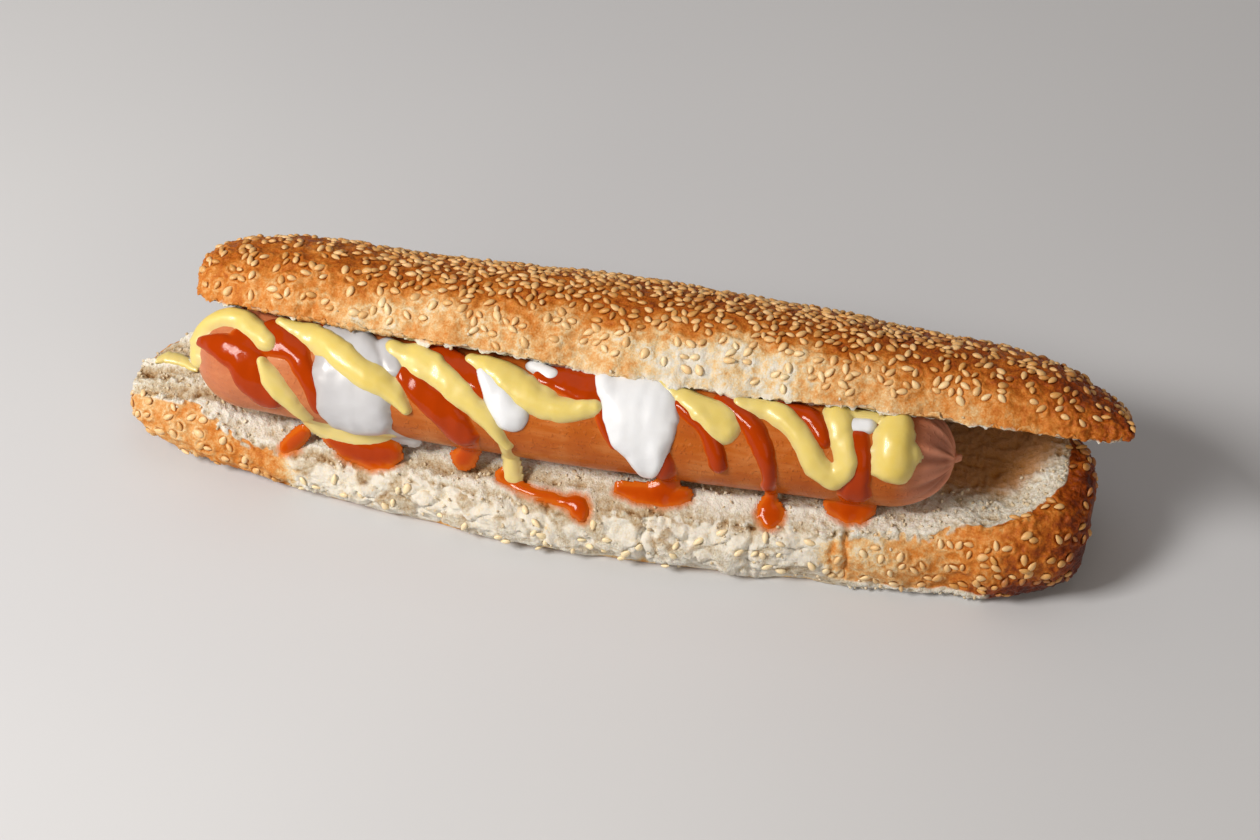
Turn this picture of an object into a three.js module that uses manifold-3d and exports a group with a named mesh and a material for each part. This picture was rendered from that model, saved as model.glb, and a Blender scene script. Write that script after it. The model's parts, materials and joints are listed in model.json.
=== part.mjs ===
// A hot dog: a long sesame roll slit along its front side and opened like a hinge, with one
// frankfurter lying in the slit and ketchup, mustard and mayonnaise piped over it.
//
// Frame: X runs along the roll, Y points away from the slit to the hinge, Z is up, in
// millimetres. The origin is on the flat underside, below the middle of the sausage.

import * as THREE from 'three';
import { mergeVertices } from 'three/addons/utils/BufferGeometryUtils.js';
import Module from 'manifold-3d';

const wasm = await Module();
wasm.setup();

// ---------------------------------------------------------------- driving dimensions

const CLEARANCE = 0.35; // between the roll and what lies in it

// Bottom half of the roll. An end is its tip, how blunt it is in plan (round: 2 is an ellipse)
// and how blunt it is in height (tall). Lists of [x, value] are stations along the roll.
const BOTTOM = {
  left: { x: -138, y: 0, z: 14, round: 2.8, tall: 3 },
  right: { x: 121, y: 6, z: 14, round: 4, tall: 5 },
  middleY: 11,
  halfWidth: 33,
  corner: 2.15, // how square its section is
  widest: 0.42, // share of the height at which it is widest
  crown: 1.16, // height of the whole loaf before the flat of its top was cut off
  settled: 0.8, // how far it sank onto the tray, which made its underside flat
  cutEnd: THREE.MathUtils.degToRad(360 + 45), // where the back of the crust meets the cut face
  rimHeight: [
    [-138, 24], [-128, 23], [-117, 21.5], [-100, 16.8], [-50, 18.5], [20, 21.8], [75, 24], [92, 28],
    [108, 31],
  ],
  // The same along the hinge, high enough for the halves to hang together.
  backHeight: [[-138, 24], [-115, 25.5], [-90, 28.5], [-65, 27], [-50, 24.5], [75, 24.5], [108, 31]],
  // Angle at which the knife cut the crust: at both ends the crust curls in over the crumb.
  cutAngle: [[-138, 128], [-120, 130], [-102, 147], [80, 147], [94, 139], [108, 132], [121, 122]],
  // Level under the sausage, rising to both ends.
  crumbHeight: [[-138, 19], [-116, 21], [90, 20.6], [98, 20.8], [112, 27.5], [122, 28]],
  frontSetback: [
    [-138, 5], [-112, 5], [-88, 3], [-60, 1.5], [-30, -2], [5, -2.2], [30, -1], [60, 1.5], [85, 3.2],
    [100, -0.5],
  ],
};

// Top half of the roll, in a frame at the hinge: along its cut face, and off that face.
const TOP = {
  left: { x: -121.5, alongFace: 26, offFace: 8, round: 4.2, tall: 3.4 },
  right: { x: 128, alongFace: 45, offFace: 3, round: 3.6, tall: 3 },
  hingeY: 39,
  hingeZ: 18.5,
  opening: THREE.MathUtils.degToRad(36),
  width: 51.5,
  root: 5, // how far it reaches past the hinge into the bottom half
  corner: 2.35,
  rise: 1.5, // of the widest line off the cut face
  crustStart: THREE.MathUtils.degToRad(-12), // the lip
  crustEnd: THREE.MathUtils.degToRad(192), // the hinge
  thickness: [
    [-122, 22.5], [-100, 22.2], [-60, 19.2], [-10, 20.8], [45, 19.6], [72, 18.6], [105, 19], [128, 14],
  ],
  // How far the lip is torn up off the plane of the cut.
  lipLift: [[-122, 0], [-98, 2.6], [-38, 2.2], [-5, 0], [35, 0], [60, 1.2], [95, 0.6], [128, 0]],
};

const SAUSAGE = {
  left: -118,
  right: 84.5,
  radius: 13.7,
  height: 33.2, // of its axis
  bow: 4, // how far the ends lie behind the middle
  bowMiddle: -15,
  bowSpan: 105,
  endLength: 15, // length of the rounded ends
  knot: 1.5, // radius of the tied tip
};

// Thick strokes of sauce on the sausage, each with its height and its route's points,
// [x, angle round the sausage, width]: 90 degrees is the top of the sausage, 180 its front.
const KETCHUP = [
  [1.7, [[-113, 127, 3], [-107, 129, 5], [-101, 138, 7.5], [-98, 156, 8], [-95, 176, 6]]],
  [1.5, [[-94, 100, 5], [-86, 122, 4.4], [-82, 152, 3], [-81, 176, 2.2]]],
  [1.7, [[-56, 126, 4], [-51, 142, 6], [-45, 159, 8], [-41, 180, 8]]],
  [1.5, [[-52, 86, 5], [-46, 102, 5.5], [-36, 126, 4]]],
  [1.5, [[-19, 97, 5], [-9, 104, 8]]],
  [1.7, [[10, 156, 3], [12, 174, 4.5], [12, 196, 6]]],
  [1.8, [[14, 110, 3.2], [22, 132, 4.6], [25, 155, 4.6], [26, 172, 4.2]]],
  [1.9, [[24, 96, 3], [33, 122, 5], [37, 147, 5.2], [39, 172, 3.6], [39, 197, 3.2]]],
  [1.5, [[39, 96, 3], [47, 104, 5], [52, 130, 3.6]]],
  [1.6, [[60, 124, 5.4], [61, 145, 6], [61, 168, 6.5], [61, 190, 8]]],
];
const MAYONNAISE = [
  [2.8, [[-74, 96, 16], [-71, 130, 21], [-69, 176, 21]]],
  [3.2, [[-37, 108, 3.5], [-33, 124, 6.5], [-28, 147, 9.2]]],
  [3.4, [[-1, 92, 13], [4, 114, 20], [5, 134, 19.5], [7, 158, 13], [7, 196, 5.5]]],
];
const MUSTARD = [
  [3, [[-116, 172, 3], [-116, 112, 4.4], [-112, 93, 5], [-106, 89, 5.2], [-95, 114, 3.8]]],
  [2.6, [[-95, 138, 2.4], [-91, 157, 3.2], [-87, 176, 3.8], [-84, 198, 4.2]]],
  [5, [[-91, 90, 3.5], [-82, 98, 6.2], [-68, 129, 7], [-61, 141, 6], [-56, 158, 3]]],
  [3.2, [[-61, 96, 6.4], [-54, 106, 6.2], [-41, 136, 5.6], [-35, 155, 4.4], [-29, 187, 2.8]]],
  [4.2, [[-39, 94, 5], [-33, 100, 7.8], [-21, 129, 6.8], [-15, 134, 5.6], [-8, 124, 3.6]]],
  [3.2, [[8, 86, 4], [14, 98, 5.4], [24, 119, 6.8], [27, 130, 6.8]]],
  [3.2, [[30, 100, 3], [39, 107, 4.8], [47, 134, 5.2], [51, 158, 5.6], [55, 172, 5.6]]],
  [3.2, [[55, 172, 5.6], [58, 154, 5.8], [57, 134, 5.6], [54, 98, 6.4]]],
  [5, [[69, 110, 9], [70, 124, 11.4], [71, 147, 12]]],
];
const STROKE = { step: 6.5, sides: 7, sunk: 0.9 };

const SEED = { length: 3.3, width: 2.0, thickness: 1.3, proud: 0.15, gap: 7 };

const ROLL_STATIONS = 36;
const OUTER_POINTS = 16;
const CUT_POINTS = 7;
const SAUSAGE_STATIONS = 26;
const SAUSAGE_SIDES = 16;

// ---------------------------------------------------------------- small helpers

const lerp = THREE.MathUtils.lerp;
const clamp = THREE.MathUtils.clamp;
const radians = THREE.MathUtils.degToRad;

/** A repeatable source of random numbers from 0 to 1. */
function randomSource(seed) {
  let state = seed >>> 0;
  return () => {
    state = (state + 0x6d2b79f5) >>> 0;
    let mixed = Math.imul(state ^ (state >>> 15), state | 1);
    mixed ^= mixed + Math.imul(mixed ^ (mixed >>> 7), mixed | 61);
    return ((mixed ^ (mixed >>> 14)) >>> 0) / 4294967296;
  };
}

/** Cosine or sine raised so that a circle turns into a rounder rectangle. */
function squared(value, power) {
  return Math.sign(value) * Math.abs(value) ** (2 / power);
}

/** Smooth value at x through a few [x, value] stations. */
function along(stations, x) {
  const last = stations.length - 1;
  if (x <= stations[0][0]) return stations[0][1];
  if (x >= stations[last][0]) return stations[last][1];
  const next = stations.findIndex(([place]) => place > x);
  const [x0, v0] = stations[next - 1];
  const [x1, v1] = stations[next];
  return lerp(v0, v1, THREE.MathUtils.smoothstep(x, x0, x1));
}

/** Gentle unevenness of a torn or baked edge. */
function unevenness(x, phase) {
  return (
    0.55 * Math.sin(x / 7.9 + phase) +
    0.35 * Math.sin(x / 3.7 + 2.1 * phase) +
    0.25 * Math.sin(x / 2.3 + 3.3 * phase)
  );
}

/** Closed body through rings of equal point count, with a tip at each end. */
function closedLoft(rings, startTip, endTip) {
  const count = rings[0].length;
  const points = [...rings.flat(), startTip, endTip];
  const start = points.length - 2;
  const end = points.length - 1;
  const faces = [];
  for (let ring = 0; ring < rings.length - 1; ring += 1) {
    for (let i = 0; i < count; i += 1) {
      const a = ring * count + i;
      const b = ring * count + ((i + 1) % count);
      faces.push(a, b, b + count, a, b + count, a + count);
    }
  }
  const lastRing = (rings.length - 1) * count;
  for (let i = 0; i < count; i += 1) {
    const next = (i + 1) % count;
    faces.push(start, next, i);
    faces.push(end, lastRing + i, lastRing + next);
  }
  const geometry = new THREE.BufferGeometry();
  const flat = points.flatMap((point) => point.toArray());
  geometry.setAttribute('position', new THREE.Float32BufferAttribute(flat, 3));
  geometry.setIndex(faces);
  return geometry;
}

/** Signed volume of an indexed closed geometry. */
function signedVolume(geometry) {
  const position = geometry.getAttribute('position');
  const index = geometry.getIndex();
  const corners = [new THREE.Vector3(), new THREE.Vector3(), new THREE.Vector3()];
  let volume = 0;
  for (let face = 0; face < index.count; face += 3) {
    corners.forEach((corner, i) => corner.fromBufferAttribute(position, index.getX(face + i)));
    volume += corners[0].dot(corners[1].clone().cross(corners[2])) / 6;
  }
  return volume;
}

/** Solid for joining and cutting, with its faces turned outwards. */
function toSolid(geometry) {
  const bare = geometry.clone();
  bare.deleteAttribute('normal');
  bare.deleteAttribute('uv');
  const merged = mergeVertices(bare, 1e-4);
  const triangles = Uint32Array.from(merged.getIndex().array);
  if (signedVolume(merged) < 0) {
    for (let face = 0; face < triangles.length; face += 3) {
      [triangles[face], triangles[face + 1]] = [triangles[face + 1], triangles[face]];
    }
  }
  const positions = Float32Array.from(merged.getAttribute('position').array);
  const mesh = new wasm.Mesh({ numProp: 3, vertProperties: positions, triVerts: triangles });
  return new wasm.Manifold(mesh);
}

/** The largest body of a solid, without loose scraps and with any sealed hollow filled. */
function largestBody(solid) {
  return solid.decompose().reduce((best, body) => (body.volume() > best.volume() ? body : best));
}

function toGeometry(solid) {
  const mesh = solid.getMesh();
  const geometry = new THREE.BufferGeometry();
  const positions = [];
  for (let i = 0; i < mesh.vertProperties.length; i += mesh.numProp) {
    positions.push(...mesh.vertProperties.subarray(i, i + 3));
  }
  geometry.setAttribute('position', new THREE.Float32BufferAttribute(positions, 3));
  geometry.setIndex(Array.from(mesh.triVerts));
  geometry.computeVertexNormals();
  return geometry;
}

// ---------------------------------------------------------------- the roll

/** Stations from -1 to 1 that crowd towards both ends. */
function stations(count) {
  const list = [];
  for (let i = 1; i < count; i += 1) {
    const even = (2 * i) / count - 1;
    list.push(lerp(even, Math.sin((even * Math.PI) / 2), 0.75));
  }
  return list;
}

/** Share of the full size left at station t, where an end rounds off. */
function fullness(t, round) {
  return (1 - Math.abs(t) ** round) ** (1 / round);
}

/** Point of the bottom half's crust: angle 180 is the front, 270 the underside, 360 the back. */
function bottomCrust(t, angle) {
  const x = lerp(BOTTOM.left.x, BOTTOM.right.x, (t + 1) / 2);
  const end = t < 0 ? BOTTOM.left : BOTTOM.right;
  const across = squared(Math.cos(angle), BOTTOM.corner);
  const round = (BOTTOM.crown - BOTTOM.widest) * squared(Math.sin(angle), BOTTOM.corner);
  const up = clamp(BOTTOM.widest + round, 0, 1);
  const front = Math.max(-across, 0);
  const rough = up > 0.08 ? front * unevenness(x, 5 * up) : 0; // not where it rests
  const y = BOTTOM.middleY + across * BOTTOM.halfWidth + front * along(BOTTOM.frontSetback, x) + rough;
  const back = Math.max(across, 0);
  const z = up * lerp(along(BOTTOM.rimHeight, x), along(BOTTOM.backHeight, x), back);
  const settledZ = Math.max(lerp(end.z, z, fullness(t, end.tall)) - BOTTOM.settled, 0);
  return new THREE.Vector3(x, lerp(end.y, y, fullness(t, end.round)), settledZ);
}

function bottomSection(t) {
  const ring = [];
  const start = radians(along(BOTTOM.cutAngle, lerp(BOTTOM.left.x, BOTTOM.right.x, (t + 1) / 2)));
  for (let i = 0; i < OUTER_POINTS; i += 1) {
    ring.push(bottomCrust(t, lerp(start, BOTTOM.cutEnd, i / (OUTER_POINTS - 1))));
  }
  const back = ring[OUTER_POINTS - 1];
  const lip = ring[0];
  const floor = Math.min(along(BOTTOM.crumbHeight, lip.x), lip.z + 3);
  for (let i = 1; i < CUT_POINTS; i += 1) {
    const share = i / CUT_POINTS;
    const edge = Math.abs(2 * share - 1) ** 3;
    const z = lerp(floor, lerp(back.z, lip.z, share), edge);
    ring.push(new THREE.Vector3(lip.x, lerp(back.y, lip.y, share), z));
  }
  return ring;
}

function bottomHalf() {
  const rings = stations(ROLL_STATIONS).map(bottomSection);
  const tip = ({ x, y, z }) => new THREE.Vector3(x, y, z - BOTTOM.settled);
  return toSolid(closedLoft(rings, tip(BOTTOM.left), tip(BOTTOM.right)));
}

/** Place of a point given along the top half's cut face and off it. */
function onTop(x, alongFace, offFace) {
  const cos = Math.cos(TOP.opening);
  const sin = Math.sin(TOP.opening);
  return new THREE.Vector3(
    x,
    TOP.hingeY - alongFace * cos + offFace * sin,
    TOP.hingeZ + alongFace * sin + offFace * cos,
  );
}

/** Point of the top half's crust: angle 0 is at the lip, 90 on the crown, 180 at the hinge. */
function topCrust(t, angle) {
  const x = lerp(TOP.left.x, TOP.right.x, (t + 1) / 2);
  const end = t < 0 ? TOP.left : TOP.right;
  const half = TOP.width / 2;
  const lipSide = Math.max(Math.cos(angle), 0) ** 4;
  const across = squared(Math.cos(angle), TOP.corner);
  const middle = half - TOP.root / 2;
  const alongFace = middle + across * (half + TOP.root / 2) + lipSide * unevenness(x, 1);
  const offFace = TOP.rise + along(TOP.thickness, x) * squared(Math.sin(angle), TOP.corner);
  const torn = along(TOP.lipLift, x) * Math.max(Math.cos(angle), 0);
  return onTop(
    x,
    lerp(end.alongFace, alongFace, fullness(t, end.round)),
    lerp(end.offFace, Math.max(offFace, torn), fullness(t, end.tall)),
  );
}

function topSection(t) {
  const ring = [];
  for (let i = 0; i < OUTER_POINTS; i += 1) {
    ring.push(topCrust(t, lerp(TOP.crustStart, TOP.crustEnd, i / (OUTER_POINTS - 1))));
  }
  const back = ring[OUTER_POINTS - 1];
  const lip = ring[0];
  for (let i = 1; i < CUT_POINTS; i += 1) {
    const share = i / CUT_POINTS;
    const point = back.clone().lerp(lip, share);
    point.z += 0.5 * Math.sin(Math.PI * share) * (1 + unevenness(lip.x, 4 * share));
    ring.push(point);
  }
  return ring;
}

function topHalf() {
  const rings = stations(ROLL_STATIONS).map(topSection);
  const tip = ({ x, alongFace, offFace }) => onTop(x, alongFace, offFace);
  return toSolid(closedLoft(rings, tip(TOP.left), tip(TOP.right)));
}

// ---------------------------------------------------------------- the seeds

/** A seed lying on the crust at (t, angle), turned by a given amount. */
function seedBody(crust, t, angle, turn) {
  const place = crust(t, angle);
  const alongRoll = crust(t + 0.01, angle).sub(crust(t - 0.01, angle)).normalize();
  const roundRoll = crust(t, angle + 0.02).sub(crust(t, angle - 0.02)).normalize();
  const outward = roundRoll.clone().cross(alongRoll).normalize();
  const heading = alongRoll.clone().applyAxisAngle(outward, turn);
  const sideways = outward.clone().cross(heading);
  const seed = new THREE.SphereGeometry(0.5, 5, 4);
  seed.rotateZ(Math.PI / 2);
  seed.scale(SEED.length, SEED.width, SEED.thickness);
  seed.applyMatrix4(new THREE.Matrix4().makeBasis(heading, sideways, outward));
  place.addScaledVector(outward, SEED.proud);
  seed.translate(place.x, place.y, place.z);
  return { place, solid: toSolid(seed) };
}

/** Seeds scattered over a stretch of crust, no two nearer than the gap, none at the floor. */
function scatter(crust, count, seedNumber, area) {
  const random = randomSource(seedNumber);
  const kept = [];
  for (let tries = 0; kept.length < count && tries < 60 * count; tries += 1) {
    const t = lerp(area.t[0], area.t[1], random());
    const angle = radians(lerp(area.angle[0], area.angle[1], random()));
    const seed = seedBody(crust, t, angle, Math.PI * random());
    const clear = kept.every((other) => other.place.distanceTo(seed.place) > SEED.gap);
    if (clear && seed.place.z > SEED.length) kept.push(seed);
  }
  return kept.map((seed) => seed.solid);
}

// ---------------------------------------------------------------- the sausage

/** Middle of the sausage at x: its ends lie a little behind its middle. */
function sausageAxis(x) {
  const away = (x - SAUSAGE.bowMiddle) / SAUSAGE.bowSpan;
  return new THREE.Vector3(x, SAUSAGE.bow * (away * away - 0.5), SAUSAGE.height);
}

function sausageRadius(x) {
  const toEnd = Math.min(x - SAUSAGE.left, SAUSAGE.right - x);
  const round = clamp(1 - toEnd / SAUSAGE.endLength, 0, 1);
  return SAUSAGE.radius * Math.sqrt(1 - round * round);
}

/** Point at a height above the skin; angle 0 is the back, 90 the top, 180 the front. */
function onSkin(x, angle, height) {
  const inside = clamp(x, SAUSAGE.left + 0.4, SAUSAGE.right - 0.4);
  const slope = (sausageRadius(inside + 0.2) - sausageRadius(inside - 0.2)) / 0.4;
  const lean = Math.atan(slope);
  const fromAxis = sausageRadius(inside) + height * Math.cos(lean);
  const point = sausageAxis(inside);
  point.x -= height * Math.sin(lean);
  point.y += fromAxis * Math.cos(angle);
  point.z += fromAxis * Math.sin(angle);
  return point;
}

function sausageBody(extra) {
  const rings = stations(SAUSAGE_STATIONS).map((t) => {
    const x = lerp(SAUSAGE.left, SAUSAGE.right, (t + 1) / 2);
    const ring = [];
    for (let i = 0; i < SAUSAGE_SIDES; i += 1) {
      ring.push(onSkin(x, (2 * Math.PI * i) / SAUSAGE_SIDES, extra));
    }
    return ring;
  });
  const left = sausageAxis(SAUSAGE.left);
  const right = sausageAxis(SAUSAGE.right);
  left.x -= extra;
  right.x += extra;
  return toSolid(closedLoft(rings, left, right));
}

/** The tied end of the casing. */
function casingKnot(extra) {
  const knot = new THREE.SphereGeometry(SAUSAGE.knot + extra, 8, 6);
  knot.scale(1.3, 1, 1);
  const place = sausageAxis(SAUSAGE.right);
  knot.translate(place.x, place.y, place.z);
  return toSolid(knot);
}

// ---------------------------------------------------------------- the sauces

/** A domed stroke of sauce along its route, with round ends, sunk a little into the skin. */
function strokeBody([height, route], extra) {
  const flat = route.map(([x, angle, width]) => (
    new THREE.Vector3(x, radians(angle) * SAUSAGE.radius, width)
  ));
  const curve = new THREE.CatmullRomCurve3(flat, false, 'centripetal');
  const count = Math.max(Math.ceil(curve.getLength() / STROKE.step), 2);
  const rings = [];
  const ringAt = (center, direction, share) => {
    const ring = [];
    for (let side = 0; side < STROKE.sides; side += 1) {
      const turn = (2 * Math.PI * side) / STROKE.sides;
      const aside = Math.cos(turn) * (center.z / 2 + extra) * share;
      const rise = Math.sin(turn) * (Math.sin(turn) > 0 ? (height + extra) * share : STROKE.sunk);
      const x = center.x - direction.y * aside;
      const angle = (center.y + direction.x * aside) / SAUSAGE.radius;
      ring.push(onSkin(x, angle, rise));
    }
    return ring;
  };
  const heading = (u) => {
    const tangent = curve.getTangentAt(u);
    return new THREE.Vector2(tangent.x, tangent.y).normalize();
  };
  const shifted = (center, direction, distance) => (
    center.clone().add(new THREE.Vector3(direction.x, direction.y, 0).multiplyScalar(distance))
  );
  const start = curve.getPointAt(0);
  const end = curve.getPointAt(1);
  const back = heading(0).negate();
  const ahead = heading(1);
  rings.push(ringAt(shifted(start, back, 0.4 * start.z + extra), back.clone().negate(), 0.6));
  for (let i = 0; i <= count; i += 1) {
    rings.push(ringAt(curve.getPointAt(i / count), heading(i / count), 1));
  }
  rings.push(ringAt(shifted(end, ahead, 0.4 * end.z + extra), ahead, 0.6));
  const first = shifted(start, back, 0.5 * start.z + extra);
  const last = shifted(end, ahead, 0.5 * end.z + extra);
  const tip = (point) => onSkin(point.x, point.y / SAUSAGE.radius, 0.2);
  return toSolid(closedLoft(rings, tip(first), tip(last)));
}

function sauces(extra) {
  return [...KETCHUP, ...MAYONNAISE, ...MUSTARD].map((stroke) => strokeBody(stroke, extra));
}

// ---------------------------------------------------------------- assembly

function material(color, roughness) {
  return new THREE.MeshStandardMaterial({ color, roughness, metalness: 0 });
}

function part(name, solid, color, roughness) {
  const mesh = new THREE.Mesh(toGeometry(solid), material(color, roughness));
  mesh.name = name;
  return mesh;
}

function dressedSausage(extra) {
  const pieces = [sausageBody(extra), casingKnot(extra), ...sauces(extra)];
  return largestBody(wasm.Manifold.union(pieces));
}

const seeds = [
  ...scatter(topCrust, 84, 11, { t: [-0.97, 0.97], angle: [14, 140] }),
  ...scatter(bottomCrust, 16, 12, { t: [0.72, 0.985], angle: [165, 225] }),
  ...scatter(bottomCrust, 12, 13, { t: [-0.93, 0.72], angle: [165, 215] }),
];
const bareRoll = wasm.Manifold.union([bottomHalf(), topHalf(), ...seeds]);
const roll = largestBody(bareRoll.subtract(dressedSausage(CLEARANCE)));

const hotDog = new THREE.Group();
hotDog.add(part('roll', roll, 0xc98a45, 0.75));
hotDog.add(part('sausage', dressedSausage(0), 0xb0653a, 0.4));

export default hotDog;
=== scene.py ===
# %% [markdown]
# # A hot dog in a sesame roll
#
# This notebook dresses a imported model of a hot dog. The model has two solids: the roll, slit
# along its front and hinged at the back, and the sausage with its thick sauces. Both have the
# right size and place, and plain faces. Here each one is replaced by fine meshes of the same
# form, with baked crust, torn crumb, sesame seeds, a smoked casing and three sauces.
#
# Food has few straight lines, so most pieces start as a smooth surface worked out from a few
# sizes, and are then pushed in and out by noise at the scale of the real thing.

import itertools
import json
import math

import bpy
import numpy as np
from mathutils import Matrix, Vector
from mathutils.kdtree import KDTree

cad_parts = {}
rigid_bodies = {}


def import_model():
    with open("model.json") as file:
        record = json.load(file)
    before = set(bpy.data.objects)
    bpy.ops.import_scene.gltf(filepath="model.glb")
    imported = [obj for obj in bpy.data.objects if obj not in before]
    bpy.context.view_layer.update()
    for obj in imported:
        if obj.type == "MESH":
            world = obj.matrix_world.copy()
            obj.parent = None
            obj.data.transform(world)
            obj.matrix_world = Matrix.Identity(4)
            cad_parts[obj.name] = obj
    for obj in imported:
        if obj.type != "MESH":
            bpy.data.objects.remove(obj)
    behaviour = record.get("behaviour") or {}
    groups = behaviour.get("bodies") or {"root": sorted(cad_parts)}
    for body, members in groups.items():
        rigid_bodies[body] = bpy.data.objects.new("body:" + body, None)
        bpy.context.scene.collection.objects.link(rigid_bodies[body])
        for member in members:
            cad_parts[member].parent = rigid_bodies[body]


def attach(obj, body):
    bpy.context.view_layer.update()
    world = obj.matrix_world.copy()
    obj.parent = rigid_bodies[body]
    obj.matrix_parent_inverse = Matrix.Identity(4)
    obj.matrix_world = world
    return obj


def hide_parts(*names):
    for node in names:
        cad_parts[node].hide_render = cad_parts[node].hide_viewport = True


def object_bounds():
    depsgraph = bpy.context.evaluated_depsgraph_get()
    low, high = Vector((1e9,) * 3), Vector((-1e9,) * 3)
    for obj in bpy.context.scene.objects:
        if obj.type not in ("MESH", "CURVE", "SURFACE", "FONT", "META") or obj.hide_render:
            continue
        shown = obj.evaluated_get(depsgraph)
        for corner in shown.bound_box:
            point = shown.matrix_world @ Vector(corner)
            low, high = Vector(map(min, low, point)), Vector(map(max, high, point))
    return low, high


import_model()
cad_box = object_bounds()
scene = bpy.context.scene

# %% [markdown]
# ## Small helpers
#
# Colours are written as the sRGB hex values that a paint program shows. Shaders work in linear
# light, so one function converts them. A second one adds a node with its settings and links,
# and hands back an output, so that nodes can be written one inside another like a formula.

# %% Colours and nodes
MM = 0.001


def linear(hex_colour):
    """A colour such as #c98a45 as linear red, green, blue and alpha."""
    channels = [int(hex_colour[i:i + 2], 16) / 255 for i in (1, 3, 5)]
    return [c / 12.92 if c <= 0.04045 else ((c + 0.055) / 1.055) ** 2.4 for c in channels] + [1.0]


def add(tree, kind, inputs=None, output=0, stops=None, **settings):
    """Adds a node and returns one of its outputs.

    Settings are its own properties, inputs give a socket a value or a link, and stops fill a
    colour ramp with [(position, hex colour), ...].
    """
    node = tree.nodes.new(kind)
    for name, value in settings.items():
        setattr(node, name, value)
    for name, value in (inputs or {}).items():
        if isinstance(value, bpy.types.NodeSocket):
            tree.links.new(value, node.inputs[name])
        else:
            node.inputs[name].default_value = value
    if stops:
        elements = node.color_ramp.elements
        elements[0].position, elements[1].position = stops[0][0], stops[-1][0]
        for position, _ in stops[1:-1]:
            elements.new(position)
        for element, (_, colour) in zip(elements, stops):
            element.color = linear(colour)
    return node.outputs[output] if node.outputs else None


def new_material(name):
    """An empty material, its tree, and the coordinates of the object in millimetres."""
    material = bpy.data.materials.new(name)
    material.use_nodes = True
    tree = material.node_tree
    tree.nodes.clear()
    place = add(tree, "ShaderNodeTexCoord", output="Object")
    return material, tree, add(tree, "ShaderNodeMapping", {"Vector": place, "Scale": (1 / MM,) * 3})


def finish_material(material, shader, *pieces):
    """Joins a shader to the output and puts the material on some pieces."""
    add(material.node_tree, "ShaderNodeOutputMaterial", {"Surface": shader})
    for piece in pieces:
        piece.data.materials.append(material)
    print(f"{material.name}: {len(material.node_tree.nodes)} nodes")


print("#808080 is", round(linear("#808080")[0], 3), "in linear light")

# %% [markdown]
# Bread and sauce are shaped with numbers before Blender sees them, so a few of the same tools
# are needed for arrays: a smooth value through a few stations, noise in space, and a mesh made
# from a grid of points. Every random draw has its own seed, so each run gives the same food.

# %% Smooth values
def smooth_step(low, high, value):
    """0 at low, 1 at high, with a soft change between. Low may be the larger of the two."""
    part = np.clip((value - low) / (high - low), 0, 1)
    return part * part * (3 - 2 * part)


def along(stations, x):
    """Smooth value at x through a few (x, value) stations."""
    places, values = np.array(stations, float).T
    i = np.clip(np.searchsorted(places, x, side="right") - 1, 0, len(places) - 2)
    part = smooth_step(places[i], places[i + 1], x)
    return values[i] + (values[i + 1] - values[i]) * part


def squared(value, power):
    """Cosine or sine raised so that a circle turns into a rounder rectangle."""
    return np.sign(value) * np.abs(value) ** (2 / power)


def mix(first, second, part):
    """The value a part of the way from the first to the second."""
    return first + (second - first) * part


print("a quarter of the way, softly:", smooth_step(0, 1, 0.25))

# %% Noise in space
# The random slopes repeat after this many bumps each way.
NOISE_CELLS = 24


def noise(points, size, seed):
    """Smooth noise from about -1 to 1 with bumps about `size` apart, for points (..., 3)."""
    slopes = np.random.default_rng(seed).normal(size=(NOISE_CELLS,) * 3 + (3,))
    slopes /= np.linalg.norm(slopes, axis=-1, keepdims=True)
    place = points / size + 7.3 * seed
    cell = np.floor(place).astype(int)
    part = place - cell
    soft = part ** 3 * (part * (part * 6 - 15) + 10)
    total = np.zeros(points.shape[:-1])
    for corner in itertools.product((0, 1), repeat=3):
        weight = np.prod(np.where(corner, soft, 1 - soft), axis=-1)
        i, j, k = np.moveaxis((cell + corner) % NOISE_CELLS, -1, 0)
        total += weight * (slopes[i, j, k] * (part - corner)).sum(-1)
    return 1.6 * total


def warped(points, amount, size, seed):
    """Points shifted about by noise, so that what follows from them doesn't run straight."""
    return points + amount * np.stack([noise(points, size, seed + i) for i in range(3)], -1)


sample = noise(np.random.default_rng(1).uniform(0, 50, (2000, 3)), 5, 1)
print(f"noise runs from {sample.min():.2f} to {sample.max():.2f}")

# %% Meshes from points
def link_mesh(name, mesh):
    """An object in the scene from a finished mesh."""
    item = bpy.data.objects.new(name, mesh)
    scene.collection.objects.link(item)
    print(f"{name}: {sum(len(p.vertices) - 2 for p in mesh.polygons)} triangles")
    return item


def make_object(name, points, faces, numbers=None):
    """A smooth-shaded mesh object from points in millimetres, with numbers kept on its points."""
    mesh = bpy.data.meshes.new(name)
    mesh.from_pydata((np.asarray(points) * MM).tolist(), [], [list(f) for f in faces])
    mesh.polygons.foreach_set("use_smooth", [True] * len(mesh.polygons))
    for key, values in (numbers or {}).items():
        layer = mesh.attributes.new(key, "FLOAT", "POINT")
        layer.data.foreach_set("value", np.asarray(values, np.float32).ravel())
    mesh.update()
    return link_mesh(name, mesh)


def once_round(count):
    """Angles of evenly spaced points once round a ring, as a row."""
    return (np.arange(count) * 2 * math.pi / count)[None, :]


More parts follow.
